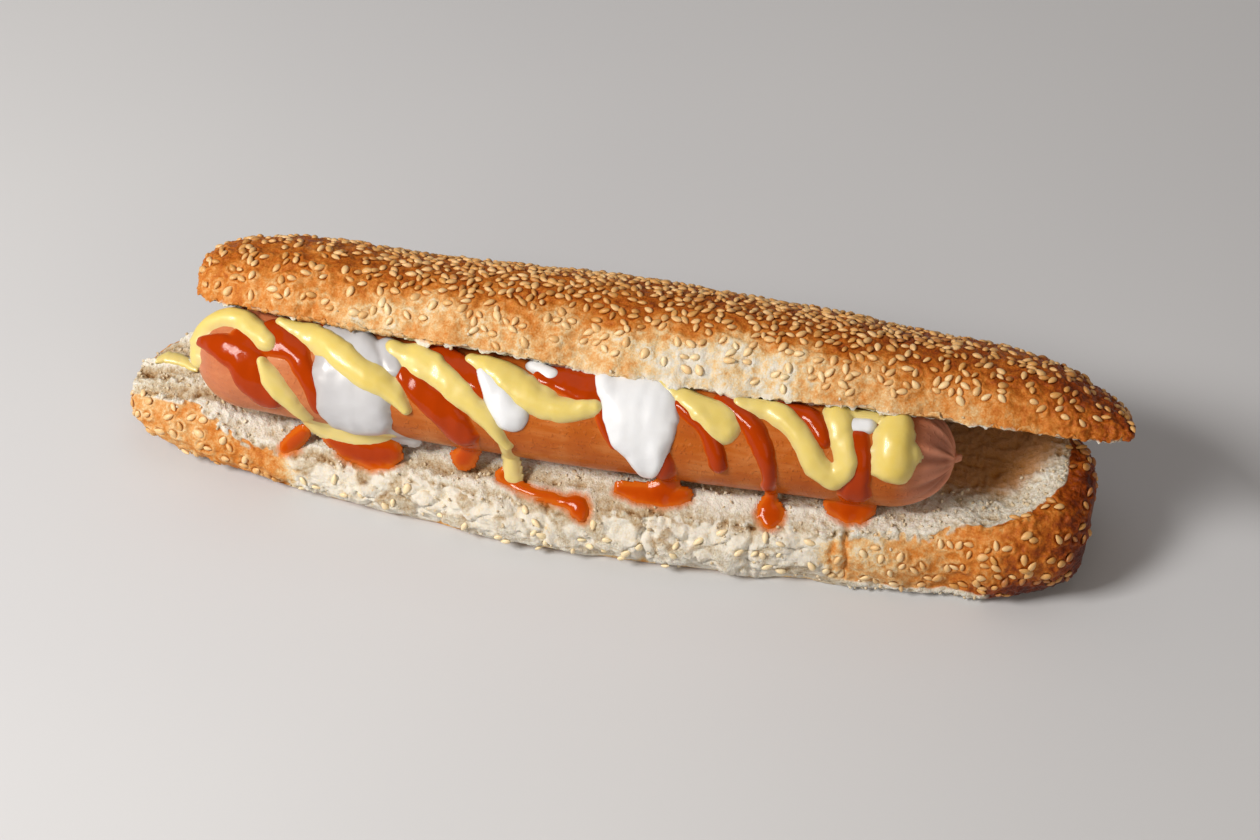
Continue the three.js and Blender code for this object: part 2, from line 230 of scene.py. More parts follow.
def tube_faces(rings, around):
    """Faces of closed rings in a row, with the two tips as the last two points."""
    first = np.arange(rings - 1)[:, None] * around
    here = np.arange(around)[None, :]
    there = (here + 1) % around
    quads = np.stack([first + here, first + there, first + around + there, first + around + here], -1)
    start = rings * around
    last = (rings - 1) * around
    caps = [(start, (i + 1) % around, i) for i in range(around)]
    caps += [(start + 1, last + i, last + (i + 1) % around) for i in range(around)]
    return [*quads.reshape(-1, 4).tolist(), *caps]


def faces_along(points, faces, ways):
    """Whether faces, on the whole, turn the same way as one vector for each."""
    a, b, c = (points[faces[:, i]] for i in range(3))
    return (np.cross(b - a, c - a) * ways).sum() >= 0


def tube_object(name, points, start, end, numbers):
    """A closed piece from rings of points and two tips."""
    rings, around = points.shape[:2]
    everything = np.vstack([points.reshape(-1, 3), [start, end]])
    values = {}
    for key, value in numbers.items():
        values[key] = np.append(value.reshape(-1), [value[0].mean(), value[-1].mean()])
    return make_object(name, everything, tube_faces(rings, around), values)


print("a tube of 3 rings of 4 points has", len(tube_faces(3, 4)), "faces")

# %% [markdown]
# ## Camera, floor and light
#
# The camera looks down at 45 degrees, turned a little to the right, with a longish lens so that
# the long roll keeps its shape. At the middle of the roll one pixel covers 0.26 mm, and the
# lens follows from that. Food is usually lit by one large soft source from the side, here from
# the left and front, with a weak fill so that the shaded end keeps its colour.

# %% The camera
IMAGE_WIDTH = 1260
PIXEL = 0.26 * MM
ELEVATION = math.radians(45)
TURN = math.radians(11.9)
DISTANCE = 0.70
TARGET = Vector((0, 0, 0.0315))

view = Vector((-math.sin(TURN) * math.cos(ELEVATION), math.cos(TURN) * math.cos(ELEVATION),
               -math.sin(ELEVATION)))
camera = bpy.data.objects.new("camera", bpy.data.cameras.new("camera"))
scene.collection.objects.link(camera)
camera.data.sensor_width = 36
camera.data.lens = camera.data.sensor_width * DISTANCE / (IMAGE_WIDTH * PIXEL)
camera.data.clip_end = 20
camera.location = TARGET - DISTANCE * view
camera.rotation_euler = view.to_track_quat("-Z", "Y").to_euler()
scene.camera = camera
print(f"lens {camera.data.lens:.1f} mm at {tuple(round(v, 3) for v in camera.location)}")

# %% The lights
def area_light(name, direction, distance, size, power, colour):
    """A square softbox that shines at the hot dog: distance and size in metres, power in watts."""
    light = bpy.data.lights.new(name, "AREA")
    light.size = size
    light.energy = power
    light.color = linear(colour)[:3]
    item = bpy.data.objects.new(name, light)
    towards = Vector(direction).normalized()
    item.location = TARGET + towards * distance
    item.rotation_euler = (-towards).to_track_quat("-Z", "Y").to_euler()
    scene.collection.objects.link(item)


area_light("key softbox", (-0.66, -0.50, 0.72), distance=0.9, size=0.28, power=8.4, colour="#fffaf3")
area_light("fill softbox", (0.55, -0.85, 0.60), distance=1.2, size=0.8, power=2.0, colour="#fff3e4")
area_light("top softbox", (0.0, 0.35, 1.0), distance=1.2, size=0.9, power=1.5, colour="#f8f9ff")

world = bpy.data.worlds.new("soft room")
world.use_nodes = True
world.node_tree.nodes["Background"].inputs["Color"].default_value = linear("#fdeedd")
world.node_tree.nodes["Background"].inputs["Strength"].default_value = 0.17
scene.world = world
scene.view_settings.view_transform = "Standard"
print(len(bpy.data.lights), "softboxes and a soft room")

# %% The floor
FLOOR_SIZE = 6.0
half = FLOOR_SIZE / 2 / MM
floor = make_object("floor", [(-half, -half, 0), (half, -half, 0), (half, half, 0), (-half, half, 0)],
                    [(0, 1, 2, 3)])
material, tree, place = new_material("painted studio floor")
# Matt paint on board: one pale grey with a barely visible unevenness.
uneven = add(tree, "ShaderNodeTexNoise", {"Vector": place, "Scale": 1 / 260})
tone = add(tree, "ShaderNodeValToRGB", {"Fac": uneven}, stops=[(0.3, "#c9cbd0"), (0.7, "#cfd1d5")])
shader = add(tree, "ShaderNodeBsdfPrincipled", {"Base Color": tone, "Roughness": 0.9})
finish_material(material, shader, floor)

# %% [markdown]
# ## The roll's two halves
#
# A baker proofs a roll like this on a tray: flat below, round above. It is then slit along the
# front and opened like a book, so each half has a crust outside and a cut face of crumb inside.
# Each half is a row of closed rings. A ring's crust is a rounded rectangle, and its cut face
# runs straight back from lip to hinge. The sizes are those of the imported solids.

# %% Sizes of the bread and the sausage
# In millimetres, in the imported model's own frame. Angles are in radians.
CLEARANCE = 0.35
BOTTOM_LEFT = (-138, 0, 14)
BOTTOM_RIGHT = (121, 6, 14)
BOTTOM_MIDDLE_Y = 11
BOTTOM_HALF_WIDTH = 33
BOTTOM_CORNER = 2.15
BOTTOM_ROUNDING = (2.8, 4)
BOTTOM_HEIGHT_ROUNDING = (3, 5)
BOTTOM_END = math.radians(405)
SETTLED = 0.8

TOP_LEFT_X, TOP_RIGHT_X = -121.5, 128
TOP_LEFT_ALONG, TOP_LEFT_OFF = 26, 8
TOP_RIGHT_ALONG, TOP_RIGHT_OFF = 45, 3
HINGE_Y, HINGE_Z = 39, 18.5
OPENING = math.radians(36)
TOP_WIDTH = 51.5
TOP_ROOT = 5
TOP_CORNER = 2.35
TOP_ROUNDING = (4.2, 3.6)
TOP_HEIGHT_ROUNDING = (3.4, 3)
TOP_START, TOP_END = np.radians([-12, 192])

SAUSAGE_LEFT, SAUSAGE_RIGHT = -118, 84.5
SAUSAGE_RADIUS = 13.7
SAUSAGE_HEIGHT = 33.2
SAUSAGE_END = 15
print(f"bread {TOP_RIGHT_X - BOTTOM_LEFT[0]} mm long, sausage {SAUSAGE_RIGHT - SAUSAGE_LEFT} mm")

# %% How the sizes change along the roll
def unevenness(x, phase):
    """Gentle unevenness of a torn or baked edge."""
    return (0.55 * np.sin(x / 7.9 + phase) + 0.35 * np.sin(x / 3.7 + 2.1 * phase)
            + 0.25 * np.sin(x / 2.3 + 3.3 * phase))


def stations(count):
    """Stations from -1 to 1 that crowd towards both ends."""
    even = 2 * np.arange(1, count) / count - 1
    return mix(even, np.sin(even * math.pi / 2), 0.75)


def fullness(t, round_left, round_right):
    """Share of the full size left at station t, where an end rounds off."""
    power = np.where(t < 0, round_left, round_right)
    return (1 - np.abs(t) ** power) ** (1 / power)


def rim_height(x):
    """Height of the bottom half before the cut: low along the front, higher at both ends."""
    return along([(-138, 24), (-128, 23), (-117, 21.5), (-100, 16.8), (-50, 18.5), (20, 21.8), (75, 24),
                  (92, 28), (108, 31)], x)


def back_height(x):
    """The same along the hinge, high enough for the halves to hang together."""
    return along([(-138, 24), (-115, 25.5), (-90, 28.5), (-65, 27), (-50, 24.5), (75, 24.5), (108, 31)], x)


def cut_angle(x):
    """Angle at which the knife cut the crust: at both ends the crust curls in over the crumb."""
    return np.radians(along([(-138, 128), (-120, 130), (-102, 147), (80, 147), (94, 139), (108, 132),
                             (121, 122)], x))


def crumb_height(x):
    """Height of the cut face: level under the sausage, with a bowl past its right end."""
    return along([(-138, 19), (-116, 21), (90, 20.6), (98, 20.8), (112, 27.5), (122, 28)], x)


def front_setback(x):
    """How far the front stands back from the plain outline."""
    return along([(-138, 5), (-112, 5), (-88, 3), (-60, 1.5), (-30, -2), (5, -2.2), (30, -1), (60, 1.5),
                  (85, 3.2), (100, -0.5)], x)


def top_thickness(x):
    """How far the crown stands off the top half's cut face."""
    return along([(-122, 22.5), (-100, 22.2), (-60, 19.2), (-10, 20.8), (45, 19.6), (72, 18.6), (105, 19),
                  (128, 14)], x)


def lip_lift(x):
    """How far the top half's lip is torn up off the plane of the cut."""
    return along([(-122, 0), (-98, 2.6), (-38, 2.2), (-5, 0), (35, 0), (60, 1.2), (95, 0.6), (128, 0)], x)


def sausage_axis_y(x):
    """The sausage lies in a slight curve, its middle nearest the front."""
    return 4 * (((x + 15) / 105) ** 2 - 0.5)


def sausage_radius(x):
    """Full along the sausage, and round at both ends."""
    to_end = np.minimum(x - SAUSAGE_LEFT, SAUSAGE_RIGHT - x)
    return SAUSAGE_RADIUS * np.sqrt(1 - np.clip(1 - to_end / SAUSAGE_END, 0, 1) ** 2)


print("at mid-length the front is", rim_height(0.0).round(1), "mm high, and the crown",
      top_thickness(0.0).round(1), "mm thick")

# %% The bottom half's crust and cut face
def bottom_x(t):
    """Place along the bottom half at station t."""
    return mix(BOTTOM_LEFT[0], BOTTOM_RIGHT[0], (t + 1) / 2)


def bottom_crust(t, angle):
    """Bottom crust: angle 180 degrees is the front, 270 the underside, 360 the back."""
    x = bottom_x(t) + 0 * angle
    full = fullness(t, *BOTTOM_ROUNDING)
    tall = fullness(t, *BOTTOM_HEIGHT_ROUNDING)
    across = squared(np.cos(angle), BOTTOM_CORNER)
    # Share of the full height. Clipped at 0, it makes the underside flat.
    up = np.clip(0.42 + 0.74 * squared(np.sin(angle), BOTTOM_CORNER), 0, 1) + 0 * t
    front = np.maximum(-across, 0)
    rough = np.where(up > 0.08, front * unevenness(x, 5 * up), 0)
    y = BOTTOM_MIDDLE_Y + across * BOTTOM_HALF_WIDTH + front * front_setback(x) + rough
    end_y = np.where(t < 0, BOTTOM_LEFT[1], BOTTOM_RIGHT[1])
    end_z = np.where(t < 0, BOTTOM_LEFT[2], BOTTOM_RIGHT[2])
    height = up * mix(rim_height(x), back_height(x), np.maximum(across, 0))
    z = np.maximum(mix(end_z, height, tall) - SETTLED, 0)
    return np.stack([x, mix(end_y, y, full), z], -1)


def bottom_start(t):
    """Angle of the front lip."""
    return cut_angle(bottom_x(t))


def bottom_cut(t, share):
    """The bottom half's cut face: share 0 is the back, 1 the front lip."""
    back = bottom_crust(t, BOTTOM_END)
    lip = bottom_crust(t, bottom_start(t))
    floor_z = np.minimum(crumb_height(lip[..., 0]), lip[..., 2] + 3)
    edge = np.abs(2 * share - 1) ** 3
    y = mix(back[..., 1], lip[..., 1], share)
    z = mix(floor_z, mix(back[..., 2], lip[..., 2], share), edge)
    return np.stack([lip[..., 0] + 0 * share, y, z], -1)


print("the front lip at mid-length:", bottom_crust(0.0, bottom_start(0.0)).round(1))

# %% The top half's crust and cut face
def on_top(x, along_face, off_face):
    """A point given along the top half's cut face and off it."""
    y = HINGE_Y - along_face * math.cos(OPENING) + off_face * math.sin(OPENING)
    z = HINGE_Z + along_face * math.sin(OPENING) + off_face * math.cos(OPENING)
    return np.stack([x, y, z], -1)


def top_crust(t, angle):
    """Top crust: angle 0 is the lip, 90 degrees the crown, 180 the hinge."""
    x = mix(TOP_LEFT_X, TOP_RIGHT_X, (t + 1) / 2) + 0 * angle
    lip_side = np.maximum(np.cos(angle), 0) ** 4
    across = squared(np.cos(angle), TOP_CORNER)
    along_face = (TOP_WIDTH - TOP_ROOT) / 2 + across * (TOP_WIDTH + TOP_ROOT) / 2
    along_face = along_face + lip_side * unevenness(x, 1)
    lowest = lip_lift(x) * np.maximum(np.cos(angle), 0)
    off_face = np.maximum(1.5 + top_thickness(x) * squared(np.sin(angle), TOP_CORNER), lowest)
    end_along = np.where(t < 0, TOP_LEFT_ALONG, TOP_RIGHT_ALONG)
    end_off = np.where(t < 0, TOP_LEFT_OFF, TOP_RIGHT_OFF)
    return on_top(x, mix(end_along, along_face, fullness(t, *TOP_ROUNDING)),
                  mix(end_off, off_face, fullness(t, *TOP_HEIGHT_ROUNDING)))


def top_cut(t, share):
    """The top half's cut face: share 0 is the hinge, 1 the lip."""
    points = mix(top_crust(t, TOP_END), top_crust(t, TOP_START), share[..., None])
    swell = 0.5 * np.sin(math.pi * share) * (1 + unevenness(points[..., 0], 4 * share))
    points[..., 2] += swell
    return points


print("the top lip at mid-length:", top_crust(0.0, TOP_START).round(1))

# %% Rings of points for both halves
RINGS = 560
BOTTOM_CRUST, BOTTOM_CUT = 110, 66
TOP_CRUST, TOP_CUT = 136, 40


def ring_shares(crust_count, cut_count, places, shares):
    """Shares along a crust, crowded where it shows, and even shares along a cut face."""
    crust = np.interp(np.linspace(0, 1, crust_count), places, shares)
    return crust[None, :], (np.arange(1, cut_count + 1) / (cut_count + 1))[None, :]


t_rows = stations(RINGS)[:, None]
# Most points go to the front wall and the crown, which show, and few to the underside.
crust_shares, cut_shares = ring_shares(BOTTOM_CRUST, BOTTOM_CUT, (0, 0.56, 0.66, 1), (0, 0.27, 0.69, 1))
bottom_angles = mix(bottom_start(t_rows), BOTTOM_END, crust_shares)
bottom_points = np.concatenate([bottom_crust(t_rows, bottom_angles), bottom_cut(t_rows, cut_shares)], 1)
bottom_from_lip = np.pad(bottom_angles - bottom_start(t_rows), ((0, 0), (0, BOTTOM_CUT)))
bottom_is_cut = np.arange(BOTTOM_CRUST + BOTTOM_CUT)[None, :] >= BOTTOM_CRUST

crust_shares, cut_shares = ring_shares(TOP_CRUST, TOP_CUT, (0, 0.78, 1), (0, 0.62, 1))
top_angles = mix(TOP_START, TOP_END, crust_shares) + 0 * t_rows
top_points = np.concatenate([top_crust(t_rows, top_angles), top_cut(t_rows, cut_shares)], 1)
top_from_lip = np.pad(top_angles - TOP_START, ((0, 0), (0, TOP_CUT)))
top_is_cut = np.arange(TOP_CRUST + TOP_CUT)[None, :] >= TOP_CRUST


def near_the_lip(points, is_cut, from_lip, reach):
    """1 at a half's lip, fading over an angle down its crust and 1.2 mm across its cut face."""
    across = np.linalg.norm(points - points[:, :1], axis=-1)
    return np.exp(-np.where(is_cut, across / 1.2, from_lip / reach) ** 2)


print("rings", bottom_points.shape, top_points.shape)

# %% [markdown]
# Cut crumb has pores, grains and sheared fibres, and where the loaf was pressed it lies in long
# folds. Baked crust has wide lumps and shallow dimples, with upright wrinkles near the cut. The
# front of the bottom half was torn off its neighbour in the oven, so it is pale and rough there.

# %% Relief of cut crumb
PORE_CELLS = 16


def pore_distance(points, size, seed):
    """Distance to the nearest of scattered pore middles, as a share of their spacing."""
    shifts = np.random.default_rng(seed).uniform(0.1, 0.9, (PORE_CELLS,) * 3 + (3,))
    place = points / size + 3.1 * seed
    cell = np.floor(place).astype(int)
    nearest = np.full(points.shape[:-1], 9.0)
    for corner in itertools.product((-1, 0, 1), repeat=3):
        neighbour = cell + corner
        i, j, k = np.moveaxis(neighbour % PORE_CELLS, -1, 0)
        away = np.linalg.norm(neighbour + shifts[i, j, k] - place, axis=-1)
        nearest = np.minimum(nearest, away)
    return nearest


def crumb_relief(points):
    """Height of the cut crumb in millimetres."""
    bent = warped(points, 1.2, 6.0, 3)
    pressed = 1 - 0.85 * smooth_step(30, 90, points[..., 0])
    folds = 1.5 * pressed * noise(bent * (0.05, 1.0, 0.5), 4.6, 5)
    fibres = 0.30 - 0.60 * np.abs(noise(bent * (0.25, 1, 1), 1.9, 6))
    grains = 0.30 * noise(points, 1.5, 7) + 0.28 * noise(points, 0.85, 8)
    wide = smooth_step(0.48, 0.24, pore_distance(bent, 4.0, 9)) * smooth_step(-0.1, 0.3, noise(points, 9, 10))
    fine = smooth_step(0.42, 0.20, pore_distance(bent, 1.9, 11))
    return folds + fibres + grains - 0.60 * wide - 0.36 * fine - 0.14


sample = crumb_relief(bottom_points[::8, BOTTOM_CRUST:])
print(f"crumb relief from {sample.min():.2f} to {sample.max():.2f} mm")

# %% Relief of baked and torn crust
def crust_relief(points, torn, wrinkled):
    """Height of the crust in millimetres, with flakes and creases where it is torn."""
    lumps = 0.45 * noise(points, 18, 20) + 0.30 * noise(points, 7, 21)
    # The right end baked hardest, so it is blistered.
    blisters = 0.45 * noise(points, 2.3, 31) + 0.30 * noise(points, 1.2, 32)
    blisters = smooth_step(82, 112, points[..., 0]) * blisters
    skin = 0.24 * noise(points, 2.6, 22) + 0.16 * noise(points, 1.3, 23)
    wrinkles = 0.34 * noise(points * (1, 0.4, 0.4), 1.8, 26) * wrinkled
    bent = warped(points, 1.8, 5.0, 30)
    strata = (0.70 * noise(bent * (0.4, 1, 1.1), 5.0, 24) + 0.34 * noise(bent, 2.2, 25)
              + 0.24 * noise(points, 0.95, 27))
    creases = -1.0 * smooth_step(0.09, 0.0, np.abs(noise(bent * (0.7, 1, 1), 6.5, 28)))
    flakes = 0.30 * smooth_step(0.05, 0.16, noise(bent * (0.5, 1, 1), 6.5, 29))
    return lumps + blisters + skin + wrinkles - 0.3 + torn * (strata + creases + flakes - 0.35)


def torn_front(points):
    """1 on the torn, floury stretch of the bottom half's front, 0 elsewhere."""
    x, y, z = np.moveaxis(points, -1, 0)
    wobble = 6 * noise(points, 12, 33)
    stretch = smooth_step(-96, -84, x + wobble) * smooth_step(60, 46, x + wobble)
    return stretch * smooth_step(-2, -9, y) * smooth_step(0.3, 2.5, z)


def cracks(points, places):
    """Upright cracks in a crust: [(x, depth, half width), ...]."""
    wander = 1.3 * noise(points, 5, 36)
    return sum(depth * np.exp(-((points[..., 0] + wander - x) / half_width) ** 2)
               for x, depth, half_width in places)


sample = crust_relief(bottom_points[::8, :BOTTOM_CRUST], 1, 0)
print(f"torn crust from {sample.min():.2f} to {sample.max():.2f} mm")

# %% Room for the sausage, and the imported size
def clear_sausage(points):
    """Points pushed out of the sausage's room, as soft bread gives where the sausage lies."""
    x, y, z = np.moveaxis(points, -1, 0)
    room = np.where((x > SAUSAGE_LEFT - CLEARANCE) & (x < SAUSAGE_RIGHT + CLEARANCE),
                    sausage_radius(np.clip(x, SAUSAGE_LEFT, SAUSAGE_RIGHT)) + CLEARANCE, 0)
    away_y = y - sausage_axis_y(x)
    away_z = z - SAUSAGE_HEIGHT
    push = np.maximum(room / np.maximum(np.hypot(away_y, away_z), 1e-6), 1)
    return np.stack([x, sausage_axis_y(x) + away_y * push, SAUSAGE_HEIGHT + away_z * push], -1)


def keep_in_box(points):
    """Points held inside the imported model's box, which is the real size."""
    low, high = (np.array(corner) / MM for corner in cad_box)
    return np.clip(points, low + 0.01, high - 0.01)


def raised(points, normals, height):
    """Points moved out by a height, but clear of the sausage and inside the box."""
    return keep_in_box(clear_sausage(points + normals * height[..., None]))


print("the middle of the sausage's room moves to", clear_sausage(np.array([0, 0, 33.0])).round(1))

# %% [markdown]
# ## The sausage
#
# A frankfurter is meat paste in a thin casing, smoked and simmered. The casing is smooth and
# tight along its length, puckers into folds where it is twisted shut, and is wet and glossy.
# Its right end shows, so it gets the folds and the tied tip.

# %% The sausage's skin
def on_skin(x, angle, height):
    """Point at a height above the skin; angle 0 is the back, 90 degrees the top, 180 the front."""
    inside = np.clip(x, SAUSAGE_LEFT + 0.05, SAUSAGE_RIGHT - 0.05) + 0 * angle
    slope = (sausage_radius(inside + 0.04) - sausage_radius(inside - 0.04)) / 0.08
    lean = np.arctan(slope)
    from_axis = sausage_radius(inside) + height * np.cos(lean)
    y = sausage_axis_y(inside) + from_axis * np.cos(angle)
    z = SAUSAGE_HEIGHT + from_axis * np.sin(angle)
    return np.stack([inside - height * np.sin(lean), y, z], -1)


SKIN_RINGS, SKIN_SIDES = 540, 148
t = stations(SKIN_RINGS)
t = mix(t, np.sin(t * math.pi / 2), 0.6)[:, None]
turn = once_round(SKIN_SIDES)
x = mix(SAUSAGE_LEFT, SAUSAGE_RIGHT, (t + 1) / 2) + 0 * turn
skin = on_skin(x, turn, 0)
to_tip = SAUSAGE_RIGHT - x
to_left = x - SAUSAGE_LEFT
# Nine uneven folds meet at the knot. They count for the last 8.5 mm, and 5 mm at the left.
folds = (np.sin(9 * turn + 0.9 * np.sin(3 * turn) + 0.12 * to_tip) + 0.6 * np.sin(17 * turn + 1.3)
         + 0.4 * np.sin(5 * turn + 2.0)) / 2
puckered = np.exp(-(to_tip / 8.5) ** 2) * smooth_step(0.0, 1.5, to_tip)
left_puckered = np.exp(-(to_left / 5) ** 2) * smooth_step(0.0, 1.5, to_left)
ripple = 0.08 * noise(skin * (0.35, 1, 1), 3, 70) + 0.22 * noise(skin, 22, 71)
height = ripple - 1.0 * puckered * (0.7 - folds) - 0.35 * left_puckered * (1 - folds)
# Both ends are pinker than the middle, and the tied right end, which lies in the top half's
# shade, is painted lighter as painted light.
end_pink_and_light = smooth_step(15, 3, to_tip) + 0.3 * smooth_step(8, 2, to_left) + 0.35 * smooth_step(70, 8, to_left)
skin = on_skin(x, turn, height - 0.05)
# The depth of the folds goes along as a number that paints shade into them.
sausage = tube_object("sausage_skin", skin, (SAUSAGE_LEFT, sausage_axis_y(SAUSAGE_LEFT), SAUSAGE_HEIGHT),
                      (SAUSAGE_RIGHT, sausage_axis_y(SAUSAGE_RIGHT), SAUSAGE_HEIGHT),
                      {"end_pink_and_light": np.clip(end_pink_and_light, 0, 1), "fold_shade": np.clip(-1.2 * height, 0, 1)})

# %% The tied tip
KNOT_RINGS, KNOT_SIDES = 18, 20
part = np.linspace(0, 1, KNOT_RINGS + 2)[1:-1][:, None]
turn = once_round(KNOT_SIDES)
radius = 1.35 * np.sin(math.pi * np.clip(part * 0.96 + 0.02, 0, 1)) ** 0.6
radius = radius * (1 + 0.22 * np.sin(2 * turn + 5 * part) + 0.12 * np.sin(7 * turn))
x = SAUSAGE_RIGHT - 1.9 + 3.85 * part + 0 * turn
y = sausage_axis_y(SAUSAGE_RIGHT) + radius * np.cos(turn) + 0.5 * part ** 2
z = SAUSAGE_HEIGHT + radius * np.sin(turn) + 0.35 * part
knot_points = np.stack([x, y, z], -1)
# The tied tip takes the end's painted light and a little painted fold shade.
knot = tube_object("casing_tip", knot_points, knot_points[0].mean(0), knot_points[-1].mean(0),
                   {"end_pink_and_light": 0.9 + 0 * x, "fold_shade": 0.2 + 0 * x})

# %% [markdown]
# The casing could be painted flat and wrapped round, but nodes that read the place in
# millimetres need no unwrapping and stay sharp close up. Its streaks are noise stretched along
# the sausage. Folds and ends, which the mesh knows, bring their own tones as numbers: the folds
# get painted shade, and the ends a pinker colour that at the tied right end, which lies in
# shade, is painted lighter as painted light.

# %% The colours of smoked casing
material, tree, place = new_material("smoked frankfurter casing")
# Collagen casing, smoked then simmered: pinkish brown, with faint streaks along it, small dark
# flecks of spice and a wet gloss. Its folds, crowded at the tied ends, are painted darker as
# painted shade, and the tied right end is painted lighter as painted light.
stretched = add(tree, "ShaderNodeMapping", {"Vector": place, "Scale": (0.16, 1, 1)})
streaks = add(tree, "ShaderNodeTexNoise", {
    "Vector": stretched, "Scale": 1 / 1.6, "Detail": 5.0, "Roughness": 0.65})
clouds = add(tree, "ShaderNodeTexNoise", {"Vector": place, "Scale": 1 / 11, "Detail": 3.0})
tone = add(tree, "ShaderNodeMath", {0: streaks, 1: 0.30, 2: 0.08}, operation="MULTIPLY_ADD")
tone = add(tree, "ShaderNodeMath", {0: clouds, 1: 0.55, 2: tone}, operation="MULTIPLY_ADD")
skin_colour = add(tree, "ShaderNodeValToRGB", {"Fac": tone},
                  stops=[(0.30, "#a04810"), (0.50, "#b45e1e"), (0.70, "#cc8246")])
flecks = add(tree, "ShaderNodeTexNoise", {"Vector": place, "Scale": 1 / 0.55, "Detail": 1.0})
flecked = add(tree, "ShaderNodeMapRange", {
    "Value": flecks, "From Min": 0.66, "From Max": 0.74, "To Max": 0.5})
# Painted light: the ends are mixed towards a light pink, most at the shaded tied end.
end = add(tree, "ShaderNodeAttribute", output="Fac", attribute_name="end_pink_and_light")
end_lightened = add(tree, "ShaderNodeMath", {0: end, 1: 0.8}, operation="MULTIPLY")
# Painted shade: the folds are mixed towards a dark brown.
fold_shade = add(tree, "ShaderNodeAttribute", output="Fac", attribute_name="fold_shade")
fold_shaded = add(tree, "ShaderNodeMath", {0: fold_shade, 1: 0.46}, operation="MULTIPLY", use_clamp=True)
for part, colour in [(flecked, "#6d3016"), (end_lightened, "#e6a288"), (fold_shaded, "#5a2012")]:
    skin_colour = add(tree, "ShaderNodeMix", {0: part, 6: skin_colour, 7: linear(colour)}, output=2,
                      data_type="RGBA")
print("colours:", len(tree.nodes), "nodes")

# %% The wet gloss of the casing
grain = add(tree, "ShaderNodeTexNoise", {"Vector": stretched, "Scale": 1 / 0.7, "Detail": 4.0})
drops = add(tree, "ShaderNodeTexNoise", {"Vector": place, "Scale": 1 / 1.1, "Detail": 0.0})
drops = add(tree, "ShaderNodeMapRange", {"Value": drops, "From Min": 0.64, "From Max": 0.72, "To Max": 1.2})
grain = add(tree, "ShaderNodeMath", {0: grain, 1: 0.5, 2: drops}, operation="MULTIPLY_ADD")
bump = add(tree, "ShaderNodeBump", {"Height": grain, "Strength": 0.45, "Distance": 0.25 * MM})
shader = add(tree, "ShaderNodeBsdfPrincipled", {
    "Base Color": skin_colour, "Roughness": 0.42, "Normal": bump, "IOR": 1.35, "Specular IOR Level": 0.20,
    "Subsurface Weight": 0.10, "Subsurface Radius": (1.0, 0.35, 0.2), "Subsurface Scale": 1.2 * MM,
    "Coat Weight": 0.20, "Coat Roughness": 0.07, "Coat IOR": 1.4})
finish_material(material, shader, sausage, knot)

# %% [markdown]
# ## A sheet for the sauces to lie on
#
# Sauce is squeezed across the sausage, runs down its front and spreads over the crumb. So all
# three sauces are shaped over one sheet that follows that way down: from behind the sausage's
# crest, over its skin, across the corner to the crumb, to the lip and down the crust. A place
# on the sheet has two numbers, x along the roll and the way down from the crest. A route is
# drawn as (x, angle, width): up to 225 degrees the angle is round the sausage, and past that
# the same measure just goes on along the crumb.

# %% Sizes of the sheet
SHEET_STEP = 0.38
# Angles in degrees: where the sheet starts, leaves the skin, lies on bread, and ends.
SHEET_TOP, SKIN_EDGE, BREAD_EDGE, SHEET_END = 38, 225, 226, 335
# Where the crumb comes out from under the sausage, in front of its axis.
CRUMB_CORNER = 12.2


def down_from(angle):
    """Way down from the sausage's crest, in millimetres, for an angle in degrees."""
    return np.radians(np.asarray(angle, float) - 90) * SAUSAGE_RADIUS


def blurred(values, radius, axis):
    """Values averaged over a short stretch of a grid, three times, with its ends held."""
    for _ in range(3):
        pad = [(0, 0)] * values.ndim
        pad[axis] = (radius, radius)
        wide = np.pad(values, pad, mode="edge")
        values = sum(np.take(wide, np.arange(i, i + values.shape[axis]), axis)
                     for i in range(2 * radius + 1)) / (2 * radius + 1)
    return values


print(f"the skin's edge is {down_from(SKIN_EDGE):.1f} mm down from the crest")

# %% The way down over skin, crumb and crust
sheet_x = np.arange(SAUSAGE_LEFT - 2, SAUSAGE_RIGHT + 2, SHEET_STEP)
sheet_down = np.arange(down_from(SHEET_TOP + 2), down_from(SHEET_END), SHEET_STEP)
t = ((sheet_x - BOTTOM_LEFT[0]) / (BOTTOM_RIGHT[0] - BOTTOM_LEFT[0]) * 2 - 1)[:, None]
skin_angles = np.arange(SHEET_TOP, SKIN_EDGE, 1.5)
skin_part = on_skin(sheet_x[:, None], np.radians(skin_angles)[None, :], 0.0)
back_y = bottom_crust(t, BOTTOM_END)[:, 0, 1]
lip_y = bottom_crust(t, bottom_start(t))[:, 0, 1]
first_share = (sausage_axis_y(sheet_x) - CRUMB_CORNER - back_y) / (lip_y - back_y)
crumb_part = bottom_cut(t, mix(first_share[:, None], 1.0, np.linspace(0, 1, 30)[None, :]))
crumb_part[..., 2] += crumb_relief(crumb_part) * 0.8
crust_part = bottom_crust(t, bottom_start(t) + np.radians(np.arange(2, 68, 3.0))[None, :])
path = np.concatenate([skin_part, crumb_part, crust_part], 1)
steps = np.linalg.norm(np.diff(path[..., 1:], axis=1), axis=-1)
steps[:, :len(skin_angles) - 1] = np.diff(down_from(skin_angles))
walked = np.concatenate([np.zeros((len(path), 1)), np.cumsum(steps, 1)], 1) + down_from(SHEET_TOP)
print(f"the way down is {walked[:, -1].min() - walked[0, 0]:.0f} mm or more long")

